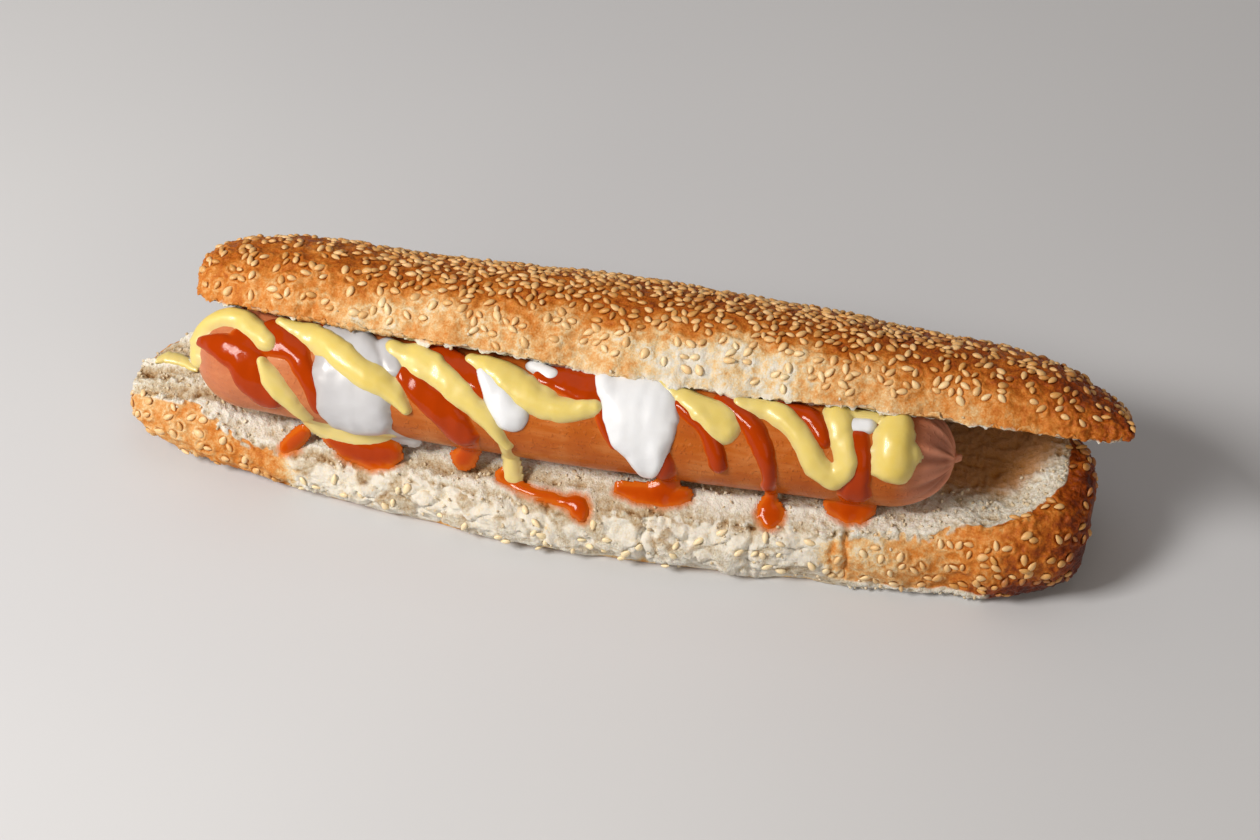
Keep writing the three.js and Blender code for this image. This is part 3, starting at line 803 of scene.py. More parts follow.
# %% The sheet and its directions
sheet = np.stack([
    np.stack([np.interp(sheet_down, walked[i], path[i, :, k]) for k in range(3)], -1)
    for i in range(len(path))])
on_bread = smooth_step(down_from(210), down_from(232), sheet_down)[None, :, None]
sheet = mix(sheet, blurred(blurred(sheet, 3, 1), 2, 0), on_bread)
sheet_x_way = np.gradient(sheet, SHEET_STEP, axis=0)
sheet_down_way = np.gradient(sheet, SHEET_STEP, axis=1)
sheet_normal = np.cross(sheet_x_way, sheet_down_way)
sheet_normal /= np.maximum(np.linalg.norm(sheet_normal, axis=-1, keepdims=True), 1e-9)
sheet_normal *= np.sign(sheet_normal[len(sheet_x) // 2, 5, 2])
sheet_normal = blurred(blurred(sheet_normal, 2, 1), 2, 0)
grid_x, grid_down = np.meshgrid(sheet_x, sheet_down, indexing="ij")
print("sheet", sheet.shape[:2], f"runs {sheet_down[0]:.1f} to {sheet_down[-1]:.1f} mm")

# %% [markdown]
# ## Three sauces
#
# Each stroke has a height and a route. Its shape on the sheet is a dome round the route, lower
# where the stroke is narrow, and strokes of one sauce melt together. Mustard lies over
# mayonnaise, and that over ketchup, so each is raised by what lies under it. Outside a stroke
# the height goes on below the surface it lies on, so the sauce's edge is where the two surfaces
# cross: a clean, smooth line. On the crumb the strokes are thin: they run, pool and soak in.
# A stroke is written as its height and then its route.

# %% Routes of the ketchup
KETCHUP = [
    (1.6, [(-115, 125, 4), (-108, 128, 7), (-101, 138, 10), (-98, 156, 10.5), (-94, 178, 8.5)]),
    (1.5, [(-95, 98, 7), (-87, 120, 6.4), (-82, 152, 4.4), (-80, 182, 3)]),
    (1.7, [(-57, 124, 5), (-51, 142, 7), (-45, 159, 9), (-41, 182, 8)]),
    (1.5, [(-54, 84, 8), (-46, 100, 8), (-36, 124, 5)]),
    (1.5, [(-21, 96, 6), (-9, 104, 11)]),
    (1.7, [(10, 156, 3), (12, 174, 4.5), (12, 196, 6)]),
    (1.8, [(14, 110, 3.2), (22, 132, 4.6), (25, 155, 4.6), (26, 172, 4.2)]),
    (1.9, [(24, 96, 3), (33, 122, 5), (37, 147, 5.2), (39, 172, 3.6), (39, 197, 3.2)]),
    (1.5, [(39, 96, 3), (47, 104, 5), (52, 130, 3.6)]),
    (1.6, [(60, 124, 5.4), (61, 145, 6), (61, 168, 6.5), (61, 190, 8)]),
]
THIN_KETCHUP = [
    (1.0, [(-103, 114, 5), (-95, 118, 4.5), (-85, 124, 3)]),
    (1.0, [(-6, 126, 2.4), (-4, 143, 2.8), (-1, 164, 2.2)]),
    (1.2, [(-86, 81, 2.3), (-78, 81, 2.1)]),
    (0.9, [(-78, 243, 3), (-72, 249, 7), (-66, 250, 8.4), (-62.5, 244, 6)]),
    (0.4, [(-86, 240, 1.6), (-88, 251, 2.8), (-90, 261, 2.6), (-91.5, 268, 1.2)]),
    (0.6, [(-41, 178, 7), (-40, 206, 5), (-41, 226, 3.6), (-42, 237, 4)]),
    (0.22, [(-31, 250, 2.4), (-26, 261, 1.4), (-20, 266, 1.7), (-15, 269, 1.4)]),
    (0.6, [(-13.5, 268, 2), (-10.5, 269, 3.4), (-9, 277, 3.0), (-8.4, 284, 1.4)]),
    (0.6, [(12, 194, 5), (12.5, 218, 3.6), (13, 230, 4), (11, 240, 5)]),
    (0.5, [(0, 243, 1.6), (5, 244, 3.2), (11, 245, 4.6), (17, 239, 2.4)]),
    (0.6, [(39, 195, 3), (39.5, 226, 2), (39.4, 238, 3), (40, 249, 5), (40.3, 258, 2.6)]),
    (0.6, [(60.5, 188, 8), (60, 211, 5.4), (60, 226, 4.4), (59.5, 236, 3.4)]),
    (0.4, [(55, 230, 1.6), (58, 233, 3.8), (62, 233, 3.8), (65, 229, 1.6)]),
]
print(len(KETCHUP + THIN_KETCHUP), "strokes of ketchup")

# %% Routes of the mayonnaise and the mustard
MAYONNAISE = [
    (2.1, [(-75, 94, 15), (-72, 128, 19.5), (-70, 178, 20)]),
    (2.7, [(-37, 106, 4), (-33, 124, 7), (-28.5, 147, 9)]),
    (2.7, [(-2, 92, 13), (3.5, 112, 19), (5, 134, 18.5), (7, 160, 12.5), (7.5, 196, 5)]),
]
THIN_MAYONNAISE = [
    (1.4, [(-64, 92, 6), (-61, 118, 5)]),
    (1.1, [(-25, 84, 4), (-20, 96, 4)]),
    (1.3, [(57, 109, 4), (62, 108, 4)]),
    (0.35, [(-68, 186, 12), (-64, 203, 8), (-60, 215, 4.6), (-56, 225, 2)]),
]
MUSTARD = [
    (2.9, [(-116.4, 172, 3), (-116.4, 112, 4.6), (-112, 93, 6), (-105, 90, 6.6), (-95, 116, 4.4)]),
    (2.4, [(-95.5, 136, 2), (-92, 155, 4.6), (-88, 176, 5), (-84, 200, 4)]),
    (3.6, [(-93, 88, 3), (-83, 97, 6.4), (-69, 128, 7.8), (-61, 141, 6), (-56, 160, 2.6)]),
    (3.0, [(-62, 94, 5), (-54, 105, 7.4), (-41, 136, 5.8), (-35, 155, 4.6), (-29, 187, 2.6)]),
    (3.4, [(-41, 92, 3.6), (-34, 100, 8), (-22, 128, 7.6), (-15, 134, 6), (-7, 126, 3)]),
    (3.0, [(8, 86, 3.6), (14, 98, 5.4), (24, 119, 7.6), (27, 131, 6.8)]),
    (3.0, [(29, 98, 3), (39, 106, 5.6), (47, 134, 5.4), (51, 158, 6), (55, 172, 6.2)]),
    (3.0, [(55, 172, 6.2), (58, 154, 6), (57, 134, 5.4), (54, 96, 6.8)]),
    (4.4, [(69.5, 101, 8), (69.5, 124, 10.2), (70, 148, 10.8)]),
]
THIN_MUSTARD = [
    (1.3, [(56, 95, 3), (64, 96, 3)]),
    (2.0, [(72, 122, 4), (74, 134, 4.4), (73.5, 147, 3.6)]),
    (0.9, [(-86, 203, 3), (-82, 225, 5.4), (-75, 229, 7), (-67, 224, 6.6), (-61, 212, 3)]),
    (1.1, [(-29.8, 186, 2.8), (-29.5, 214, 2.6), (-29, 236, 3.4), (-28.5, 250, 3.8)]),
]
print(len(MAYONNAISE + THIN_MAYONNAISE), "strokes of mayonnaise,", len(MUSTARD + THIN_MUSTARD), "of mustard")

# %% From a route to a line
def smooth_route(route, step=0.5):
    """A rounded line through a route's points, about `step` apart."""
    points = np.array([(x, float(down_from(angle)), width) for x, angle, width in route])
    chord = np.hypot(*np.diff(points[:, :2], axis=0).T)
    knots = np.concatenate([[0], np.cumsum(np.sqrt(chord))])
    padded = np.vstack([2 * points[0] - points[1], points, 2 * points[-1] - points[-2]])
    places = np.concatenate([[-knots[1]], knots, [2 * knots[-1] - knots[-2]]])
    line = []
    for i in range(1, len(padded) - 2):
        count = max(int(chord[i - 1] / step), 2)
        for u in np.linspace(places[i], places[i + 1], count, endpoint=False):
            a = [mix(padded[j], padded[j + 1], (u - places[j]) / (places[j + 1] - places[j]))
                 for j in (i - 1, i, i + 1)]
            b = [mix(a[j], a[j + 1], (u - places[i - 1 + j]) / (places[i + 1 + j] - places[i - 1 + j]))
                 for j in (0, 1)]
            line.append(mix(b[0], b[1], (u - places[i]) / (places[i + 1] - places[i])))
    return np.array([*line, points[-1]])


sample = smooth_route(MUSTARD[0][1])
print(len(MUSTARD[0][1]), "points of a route make", len(sample), "places along it")

# %% From a line to a dome
# A stroke lower than this is thin, with a gently rounded section. A thick one is rounder.
THIN, THIN_POWER = 1.35, 2.4
OUTSIDE = -9.0


def dome_over(height, route, wobble):
    """Height of one stroke over the whole sheet; it is negative outside the stroke."""
    line = smooth_route(route)
    widest = line[:, 2].max()
    reach = 0.8 * widest + 3
    near = ((grid_x > line[:, 0].min() - reach) & (grid_x < line[:, 0].max() + reach)
            & (grid_down > line[:, 1].min() - reach) & (grid_down < line[:, 1].max() + reach))
    best = np.full(np.count_nonzero(near), 9.0)
    tall = np.full(len(best), height)
    for x, down, width in line:
        away = np.hypot(grid_x[near] - x, grid_down[near] - down) / (width / 2 + 0.25)
        tall = np.where(away < best, height * (0.45 + 0.55 * width / widest), tall)
        best = np.minimum(best, away)
    power = THIN_POWER if height < THIN else np.clip(0.8 * line[:, 2].mean() / height, 2.3, 5.0)
    total = np.full(grid_x.shape, OUTSIDE)
    total[near] = np.maximum(tall * (1 - (best * (1 + wobble[near])) ** power), OUTSIDE)
    return total


def melt_together(first, second, soft=0.7):
    """The higher of two heights, rounded where they meet."""
    part = np.clip(0.5 + 0.5 * (second - first) / soft, 0, 1)
    return mix(first, second, part) + soft * part * (1 - part)


def sauce_heights(strokes, ragged, soaks, seed):
    """Height over the sheet of all strokes of one sauce; one that soaks has ragged edges on bread."""
    flat_place = np.stack([grid_x, grid_down, 0 * grid_x], -1)
    wobble = ragged * (0.10 * noise(flat_place, 6, seed) + 0.05 * noise(flat_place, 2.4, seed + 1))
    wet_edge = 0.035 * ragged * noise(flat_place, 1.6, seed + 4)
    wobble = wobble + soaks * (0.9 * wobble + wet_edge) * on_bread[..., 0]
    total = np.full(grid_x.shape, OUTSIDE)
    for height, route in strokes:
        total = melt_together(total, dome_over(height, route, wobble))
    runs = 0.12 * noise(flat_place, 3.0, seed + 2) + 0.22 * noise(flat_place * (1, 0.22, 1), 3.6, seed + 3)
    return total + runs * smooth_step(0.2, 1.4, total)


sample = dome_over(*MAYONNAISE[0], 0 * grid_x)
print(f"the first stroke of mayonnaise is {sample.max():.1f} mm high")

# %% From domes to a closed piece
RIM, SKIRT = 0.55, 0.9


def corners(grid):
    """The values at the four corners of each cell of a grid, in order round it."""
    return [grid[:-1, :-1], grid[1:, :-1], grid[1:, 1:], grid[:-1, 1:]]


def sauce_object(name, own, under, bulge, body=1):
    """A closed piece of sauce from its own height over what lies under it.

    Bulge pushes steep edges outwards, and body scales the thickness that the colour reads: below
    1 the sauce looks thinner and greyer, which serves as painted shade, and above 1 whiter. The
    piece goes on to RIM below its edge, and its back lies SKIRT below the surface.
    """
    own = np.maximum(own, -RIM)
    slope_x, slope_down = np.gradient(own, SHEET_STEP)
    slope = np.hypot(slope_x, slope_down) + 1e-6
    push = bulge * smooth_step(0, 1.0, own) * smooth_step(0.7, 2.2, slope) / slope
    moved = sheet - sheet_x_way * (slope_x * push)[..., None]
    moved = moved - sheet_down_way * (slope_down * push)[..., None]
    upper = moved + sheet_normal * (under + own)[..., None]
    lower = sheet + sheet_normal * (np.minimum(under, 0.2) - SKIRT)[..., None]
    inside = own > -RIM + 0.02
    number = np.arange(own.size).reshape(own.shape)
    cells = np.any(corners(inside), axis=0)
    corner = np.stack([numbers[cells] for numbers in corners(number)], -1)
    used = np.unique(corner)
    new_number = np.full(own.size, -1)
    new_number[used] = np.arange(len(used))
    top_faces = new_number[corner]
    edges = {tuple(edge) for edge in top_faces[:, [0, 1, 1, 2, 2, 3, 3, 0]].reshape(-1, 2).tolist()}
    walls = [(b, a, a + len(used), b + len(used)) for a, b in edges if (b, a) not in edges]
    faces = [*top_faces.tolist(), *(top_faces[:, ::-1] + len(used)).tolist(), *walls]
    points = np.vstack([upper.reshape(-1, 3)[used], lower.reshape(-1, 3)[used]])
    if not faces_along(points, top_faces, sheet_normal.reshape(-1, 3)[used][top_faces[:, 0]]):
        faces = [tuple(reversed(face)) for face in faces]
    return make_object(name, points, faces, {"thickness_and_shade": np.tile((own * body).reshape(-1)[used], 2)})


print(f"the sauces' edges lie {RIM} mm below the surface")

# %% Ketchup, mayonnaise and mustard
ketchup_own = sauce_heights(KETCHUP + THIN_KETCHUP, ragged=1.6, soaks=1, seed=80)
mayo_own = sauce_heights(MAYONNAISE + THIN_MAYONNAISE, ragged=0.9, soaks=0.5, seed=84)
mustard_own = 0.75 * sauce_heights(MUSTARD + THIN_MUSTARD, ragged=1.7, soaks=-0.5, seed=88)
under_mayo = blurred(blurred(np.maximum(ketchup_own, 0), 2, 0), 2, 1)
mayo_under = blurred(blurred(np.maximum(mayo_own, 0) * 0.5, 3, 0), 3, 1)
under_mustard = np.maximum(under_mayo * 0.8, mayo_under)

ketchup = sauce_object("ketchup", ketchup_own, 0 * grid_x, bulge=0.1)
# The first stroke is painted greyer than the others, as painted shade, and the strokes to the
# right are painted a little whiter.
mayo_painted_light_and_shade = along([(-82, 0.10), (-70, 0.22), (-60, 0.20), (-40, 0.9), (-30, 1.2)], grid_x)
mayonnaise = sauce_object("mayonnaise", mayo_own, under_mayo * 0.6, bulge=0.3, body=mayo_painted_light_and_shade)
mustard = sauce_object("mustard", mustard_own, under_mustard, bulge=0.15)

# %% [markdown]
# Real sauces show how thick they lie: thin ketchup is orange and thin mayonnaise is grey, because
# what lies below shows through. Here each point carries its thickness as a number, which for the
# mayonnaise also carries painted shade, and a colour ramp reads it, which is simpler than
# glass-like light and as clear to the eye.

# %% Tomato ketchup
material, tree, place = new_material("tomato ketchup")
# Cooked tomato: brick red where thick, orange where it thins, smooth and wet.
thickness_and_shade = add(tree, "ShaderNodeAttribute", output="Fac", attribute_name="thickness_and_shade")
pulp = add(tree, "ShaderNodeTexNoise", {"Vector": place, "Scale": 1 / 2.0, "Detail": 4.0})
tone = add(tree, "ShaderNodeMath", {0: thickness_and_shade, 1: 1.2, 2: -0.12}, operation="MULTIPLY_ADD")
tone = add(tree, "ShaderNodeMath", {0: pulp, 1: 0.3, 2: tone}, operation="MULTIPLY_ADD")
red = add(tree, "ShaderNodeValToRGB", {"Fac": tone},
          stops=[(0.0, "#c45c10"), (0.25, "#bc4c06"), (0.6, "#b44200"), (1.0, "#a63600")])
bump = add(tree, "ShaderNodeBump", {"Height": pulp, "Strength": 0.15, "Distance": 0.4 * MM})
shader = add(tree, "ShaderNodeBsdfPrincipled", {
    "Base Color": red, "Roughness": 0.12, "Normal": bump, "IOR": 1.35, "Specular IOR Level": 0.32})
finish_material(material, shader, ketchup)

# %% Egg mayonnaise
material, tree, place = new_material("egg mayonnaise")
# An emulsion of oil: nearly white, slightly cool, greyer where thin, with soft edges of painted
# shade, and a satin gloss.
thickness_and_shade = add(tree, "ShaderNodeAttribute", output="Fac", attribute_name="thickness_and_shade")
white = add(tree, "ShaderNodeValToRGB", {"Fac": thickness_and_shade},
            stops=[(0.0, "#b2adac"), (0.30, "#c2c2c6"), (0.9, "#e6e9ee")])
waves = add(tree, "ShaderNodeTexNoise", {"Vector": place, "Scale": 1 / 3})
bump = add(tree, "ShaderNodeBump", {"Height": waves, "Strength": 0.12, "Distance": 0.5 * MM})
shader = add(tree, "ShaderNodeBsdfPrincipled", {
    "Base Color": white, "Roughness": 0.34, "Normal": bump,
    "Subsurface Weight": 0.20, "Subsurface Radius": (1.0, 0.95, 0.9), "Subsurface Scale": 1.2 * MM,
    "Coat Weight": 0.25, "Coat Roughness": 0.10})
finish_material(material, shader, mayonnaise)

# %% Mild yellow mustard
material, tree, place = new_material("mild yellow mustard")
# Turmeric yellow, a little greener and paler where thin, smooth with a satin gloss.
thickness_and_shade = add(tree, "ShaderNodeAttribute", output="Fac", attribute_name="thickness_and_shade")
clouds = add(tree, "ShaderNodeTexNoise", {"Vector": place, "Scale": 1 / 2.2})
tone = add(tree, "ShaderNodeMath", {0: thickness_and_shade, 1: 0.22, 2: -0.15}, operation="MULTIPLY_ADD")
tone = add(tree, "ShaderNodeMath", {0: clouds, 1: 0.5, 2: tone}, operation="MULTIPLY_ADD")
yellow = add(tree, "ShaderNodeValToRGB", {"Fac": tone},
             stops=[(0.0, "#dcca8a"), (0.5, "#e0cb74"), (1.0, "#dfc45a")])
waves = add(tree, "ShaderNodeTexNoise", {"Vector": place, "Scale": 1 / 1.4, "Detail": 3.0})
bump = add(tree, "ShaderNodeBump", {"Height": waves, "Strength": 0.15, "Distance": 0.3 * MM})
shader = add(tree, "ShaderNodeBsdfPrincipled", {
    "Base Color": yellow, "Roughness": 0.38, "Normal": bump,
    "Subsurface Weight": 0.22, "Subsurface Radius": (1.0, 0.8, 0.3), "Subsurface Scale": 1.2 * MM,
    "Coat Weight": 0.20, "Coat Roughness": 0.10})
finish_material(material, shader, mustard)

# %% A thread of mustard on the crumb
THREAD = np.array([(-133.2, 7.2, 20.0), (-130.8, 8.8, 20.2), (-126.6, 8.4, 20.3), (-120.6, 5.6, 20.6)])
THREAD_RADIUS = 2.2
THREAD_RINGS, THREAD_SIDES = 40, 12

place_on = np.linspace(0, len(THREAD) - 1, THREAD_RINGS)
middle = np.stack([along(list(enumerate(THREAD[:, k])), place_on) for k in range(3)], -1)[:, None]
turn = once_round(THREAD_SIDES)
radius = THREAD_RADIUS * np.sin(math.pi * np.linspace(0.04, 0.96, THREAD_RINGS)) ** 0.4
radius = radius[:, None] + 0 * turn
ring = np.stack([0 * radius, radius * np.cos(turn), 0.5 * radius * np.sin(turn)], -1)
thread_points = middle + ring
thread_points = thread_points + 0.15 * noise(thread_points, 1.6, 92)[..., None]
thread = tube_object("mustard_thread", thread_points, thread_points[0].mean(0), thread_points[-1].mean(0),
                     {"thickness_and_shade": 0.8 + 0 * radius})
thread.data.materials.append(material)

# %% [markdown]
# ## Bread that got wet
#
# Where a sauce lies on bread it sinks in, weighs the crumb down and stains it. So the bread
# needs to know how far each of its points is from the sauces.

# %% Wet places
def distance_to(places, points):
    """Distance from each point to the nearest of some places."""
    finder = KDTree(len(places))
    for i, place in enumerate(places):
        finder.insert(place, i)
    finder.balance()
    flat = points.reshape(-1, 3)
    return np.array([finder.find(point)[2] for point in flat]).reshape(points.shape[:-1])


def wet_places(own, thinnest):
    """Places on the bread under a sauce of at least some thickness."""
    return sheet[(own > thinnest) & (grid_down > down_from(BREAD_EDGE))][::2]


ketchup_places = wet_places(ketchup_own, 0.02)
sauce_places = np.concatenate([ketchup_places, wet_places(mustard_own, 0.1), wet_places(mayo_own, 0.1)])
stained = np.exp(-(distance_to(ketchup_places, bottom_points) / 2.3) ** 2)
covered = np.exp(-(distance_to(sauce_places, bottom_points) / 1.7) ** 2)
thick_places = np.concatenate([wet_places(own, 0.35) for own in (ketchup_own, mustard_own, mayo_own)])
weighed_down = np.exp(-(distance_to(thick_places, bottom_points) / 0.9) ** 2)
print("bread points under sauce:", int((covered > 0.5).sum()))

# %% [markdown]
# ## Things scattered on the bread
#
# Hulled sesame is a flat teardrop about 3 mm long. The dough is wetted and pressed in a tray
# of seeds, so they lie crowded on the crown and thin out down the sides. Crumb sheds flakes
# where the knife and the hand tore it. Both are rules over a surface, so one Geometry Nodes
# tree does them: points spread on a light copy of the bread, thicker where the number `share`
# is high, with one of a few shapes on each, turned at random and sunk a little.

# %% Shapes of seeds
SEED_LENGTH, SEED_WIDTH, SEED_THICKNESS = 3.0, 1.85, 1.35
SEED_RINGS, SEED_SIDES = 6, 8
SEED_POINTS = SEED_RINGS * SEED_SIDES + 2


def put_aside(collection, item):
    """Moves a shape out of the scene and into a collection that the tree draws from."""
    scene.collection.objects.unlink(item)
    collection.objects.link(item)


def seed_shape(name, bend, slim):
    """A teardrop: pointed at one end, round at the other, flat below and domed above."""
    along_seed = (1 - np.cos(np.linspace(0, math.pi, SEED_RINGS + 2)[1:-1])) / 2
    turn = once_round(SEED_SIDES)
    fat = (np.sin(math.pi * along_seed ** 0.80) ** 0.66)[:, None]
    x = (along_seed - 0.5)[:, None] * SEED_LENGTH + 0 * turn
    y = fat * np.cos(turn) * SEED_WIDTH / 2 * slim + bend * (x / SEED_LENGTH) ** 2
    z = fat * np.where(np.sin(turn) > 0, np.sin(turn), 0.6 * np.sin(turn)) * SEED_THICKNESS / 2
    ends = [(-SEED_LENGTH / 2, bend / 4, 0), (SEED_LENGTH / 2, bend / 4, 0)]
    return make_object(name, np.vstack([np.stack([x, y, z], -1).reshape(-1, 3), ends]),
                       tube_faces(SEED_RINGS, SEED_SIDES))


seed_shapes = bpy.data.collections.new("seed shapes")
for number, (bend, slim) in enumerate([(0.0, 1.0), (0.35, 0.9), (-0.25, 1.1), (0.1, 0.82)]):
    put_aside(seed_shapes, seed_shape(f"seed_shape_{number}", bend, slim))

# %% Shapes of flakes
FLAKE_RINGS, FLAKE_SIDES = 3, 5


def flake_shape(name, seed):
    """A torn scrap of crumb, about 1 mm across and uneven all round."""
    draw = np.random.default_rng(seed)
    turn = once_round(FLAKE_SIDES) + draw.uniform(-0.3, 0.3, (FLAKE_RINGS, FLAKE_SIDES))
    radius = draw.uniform(0.25, 0.6, (FLAKE_RINGS, FLAKE_SIDES))
    x = np.array([-0.35, 0, 0.35])[:, None] + draw.uniform(-0.12, 0.12, turn.shape)
    points = np.stack([x, radius * np.cos(turn), 0.7 * radius * np.sin(turn)], -1).reshape(-1, 3)
    ends = [(-0.6, 0.05, 0), (0.6, -0.05, 0)]
    return make_object(name, np.vstack([points, ends]), tube_faces(FLAKE_RINGS, FLAKE_SIDES))


flake_shapes = bpy.data.collections.new("flake shapes")
for number in range(4):
    put_aside(flake_shapes, flake_shape(f"flake_shape_{number}", 20 + number))

# %% What the scattering tree takes
scatter_tree = bpy.data.node_groups.new("scatter on bread", "GeometryNodeTree")
scatter_tree.is_modifier = True
tree = scatter_tree
for name, kind, default in [
        ("Bread", "Geometry", None), ("Shapes", "Collection", None), ("Material", "Material", None),
        ("Gap", "Float", 0.0021), ("Most per square metre", "Float", 300000.0), ("Smallest", "Float", 0.78),
        ("Largest", "Float", 1.14), ("Lift", "Float", 0.0003), ("Tilt", "Float", 0.32), ("Seed", "Int", 4)]:
    socket = tree.interface.new_socket(name, in_out="INPUT", socket_type=f"NodeSocket{kind}")
    if default is not None:
        socket.default_value = default
tree.interface.new_socket("Pieces", in_out="OUTPUT", socket_type="NodeSocketGeometry")
tree_inputs = {item.name: item.identifier for item in tree.interface.items_tree if item.in_out == "INPUT"}
print("the scattering tree takes", ", ".join(tree_inputs))

# %% The scattering tree
given = add(tree, "NodeGroupInput").node.outputs
share = add(tree, "GeometryNodeInputNamedAttribute", {"Name": "share"}, data_type="FLOAT")
spread = add(tree, "GeometryNodeDistributePointsOnFaces", {
    "Mesh": given["Bread"], "Distance Min": given["Gap"], "Density Max": given["Most per square metre"],
    "Density Factor": share, "Seed": given["Seed"]}, distribute_method="POISSON").node.outputs
back = add(tree, "ShaderNodeMath", {0: given["Tilt"], 1: -1.0}, operation="MULTIPLY")
low = add(tree, "ShaderNodeCombineXYZ", {"X": back, "Y": back, "Z": -math.pi})
high = add(tree, "ShaderNodeCombineXYZ", {"X": given["Tilt"], "Y": given["Tilt"], "Z": math.pi})
spin = add(tree, "FunctionNodeRandomValue", {0: low, 1: high, "Seed": 11}, data_type="FLOAT_VECTOR")
turned = add(tree, "FunctionNodeRotateRotation", {
    "Rotation": spread["Rotation"], "Rotate By": add(tree, "FunctionNodeEulerToRotation", {0: spin})},
    rotation_space="LOCAL")
offset = add(tree, "ShaderNodeVectorMath", {0: spread["Normal"], "Scale": given["Lift"]}, operation="SCALE")
lifted = add(tree, "GeometryNodeSetPosition", {"Geometry": spread["Points"], "Offset": offset})
shapes = add(tree, "GeometryNodeCollectionInfo", {
    "Collection": given["Shapes"], "Separate Children": True, "Reset Children": True})
size = add(tree, "FunctionNodeRandomValue", {2: given["Smallest"], 3: given["Largest"], "Seed": 12},
           output=1, data_type="FLOAT")
placed = add(tree, "GeometryNodeInstanceOnPoints", {
    "Points": lifted, "Instance": shapes, "Pick Instance": True, "Rotation": turned, "Scale": size})
tint = add(tree, "FunctionNodeRandomValue", {"Seed": 13}, output=1, data_type="FLOAT")
marked = add(tree, "GeometryNodeStoreNamedAttribute", {"Geometry": placed, "Name": "tint", "Value": tint},
             data_type="FLOAT", domain="INSTANCE")
real = add(tree, "GeometryNodeRealizeInstances", {"Geometry": marked})
finished = add(tree, "GeometryNodeSetMaterial", {"Geometry": real, "Material": given["Material"]})
add(tree, "NodeGroupOutput", {"Pieces": finished})
print("scattering tree:", len(tree.nodes), "nodes")

# %% [markdown]
# Toasted seeds run from ivory to brown, and no two are alike. They could be given a few materials,
# but one serves them all: the tree gave each seed a random number, `tint`, and the bread's number
# for how far it baked, with its painted shade, comes along with it, so that seeds on dark crust
# are darker.

# %% Toasted sesame
material, tree, place = new_material("toasted hulled sesame")
# Each seed has its own tint, from ivory to toasted, and is browned with the crust round it,
# painted shade included.
# Its skin is satin, with faint ridges.
tint = add(tree, "ShaderNodeAttribute", output="Fac", attribute_name="tint")
cloud = add(tree, "ShaderNodeTexNoise", {"Vector": place, "Scale": 1 / 1.2})
around = add(tree, "ShaderNodeAttribute", output="Fac", attribute_name="bake_and_shade")
tone = add(tree, "ShaderNodeMath", {0: tint, 1: 0.45, 2: -0.38}, operation="MULTIPLY_ADD")
tone = add(tree, "ShaderNodeMath", {0: cloud, 1: 0.30, 2: tone}, operation="MULTIPLY_ADD")
tone = add(tree, "ShaderNodeMath", {0: around, 1: 1.0, 2: tone}, operation="MULTIPLY_ADD", use_clamp=True)
seed_colour = add(tree, "ShaderNodeValToRGB", {"Fac": tone}, stops=[
    (0.0, "#f2deb6"), (0.30, "#ecca96"), (0.58, "#e0b275"), (0.80, "#d0974f"), (1.0, "#b0713a")])
ridges = add(tree, "ShaderNodeTexNoise", {"Vector": place, "Scale": 1 / 0.5})
bump = add(tree, "ShaderNodeBump", {"Height": ridges, "Strength": 0.3, "Distance": 0.2 * MM})
shader = add(tree, "ShaderNodeBsdfPrincipled", {
    "Base Color": seed_colour, "Roughness": 0.42, "Normal": bump,
    "Subsurface Weight": 0.15, "Subsurface Radius": (1.0, 0.6, 0.3), "Subsurface Scale": 0.8 * MM})
finish_material(material, shader)
sesame = material

# %% Torn crumb
material, tree, place = new_material("torn white crumb")
# The same crumb as the cut faces, lighter because thin flakes let light through.
tint = add(tree, "ShaderNodeAttribute", output="Fac", attribute_name="tint")
flake_colour = add(tree, "ShaderNodeValToRGB", {"Fac": tint}, stops=[(0.0, "#c9b491"), (1.0, "#e2d6c0")])
shader = add(tree, "ShaderNodeBsdfPrincipled", {
    "Base Color": flake_colour, "Roughness": 0.95, "Specular IOR Level": 0.2,
    "Subsurface Weight": 0.15, "Subsurface Radius": (1.0, 0.8, 0.6), "Subsurface Scale": 0.8 * MM})
finish_material(material, shader)
torn_crumb = material

# %% Running the tree over a surface
def scatter(name, surface, share, bake_and_shade, settings):
    """Runs the tree over a light copy of a surface and keeps the result as a plain mesh."""
    rings = surface[::2, ::2]
    rows, columns = rings.shape[:2]
    first = np.arange(rows - 1)[:, None] * columns + np.arange(columns - 1)[None, :]
    quads = np.stack([first, first + 1, first + columns + 1, first + columns], -1).reshape(-1, 4)
    corner_points = rings.reshape(-1, 3)
    if not faces_along(corner_points, quads, corner_points[quads[:, 0]] - rings.mean((0, 1))):
        quads = quads[:, ::-1]
    carrier = make_object(f"{name}_carrier", corner_points, quads.tolist(), {
        "share": share[::2, ::2], "bake_and_shade": bake_and_shade[::2, ::2]})
    modifier = carrier.modifiers.new("scatter", "NODES")
    modifier.node_group = scatter_tree
    for key, value in settings.items():
        modifier[tree_inputs[key]] = value
    graph = bpy.context.evaluated_depsgraph_get()
    mesh = bpy.data.meshes.new_from_object(carrier.evaluated_get(graph))
    bpy.data.objects.remove(carrier)
    flat = np.empty(len(mesh.vertices) * 3, np.float32)
    mesh.vertices.foreach_get("co", flat)
    points = keep_in_box(flat.reshape(-1, 3) / MM)
    mesh.vertices.foreach_set("co", (points * MM).astype(np.float32).ravel())
    mesh.update()
    mesh.name = name
    return link_mesh(name, mesh), points


# %% Seeds in the dough, and flakes
# Dough round a seed, in millimetres from its middle: a rim about it, and a dent below it.
RIM_AWAY, RIM_WIDTH, RIM_HEIGHT = 1.75, 0.55, 0.42
DENT_WIDTH, DENT_DEPTH = 1.3, 0.20


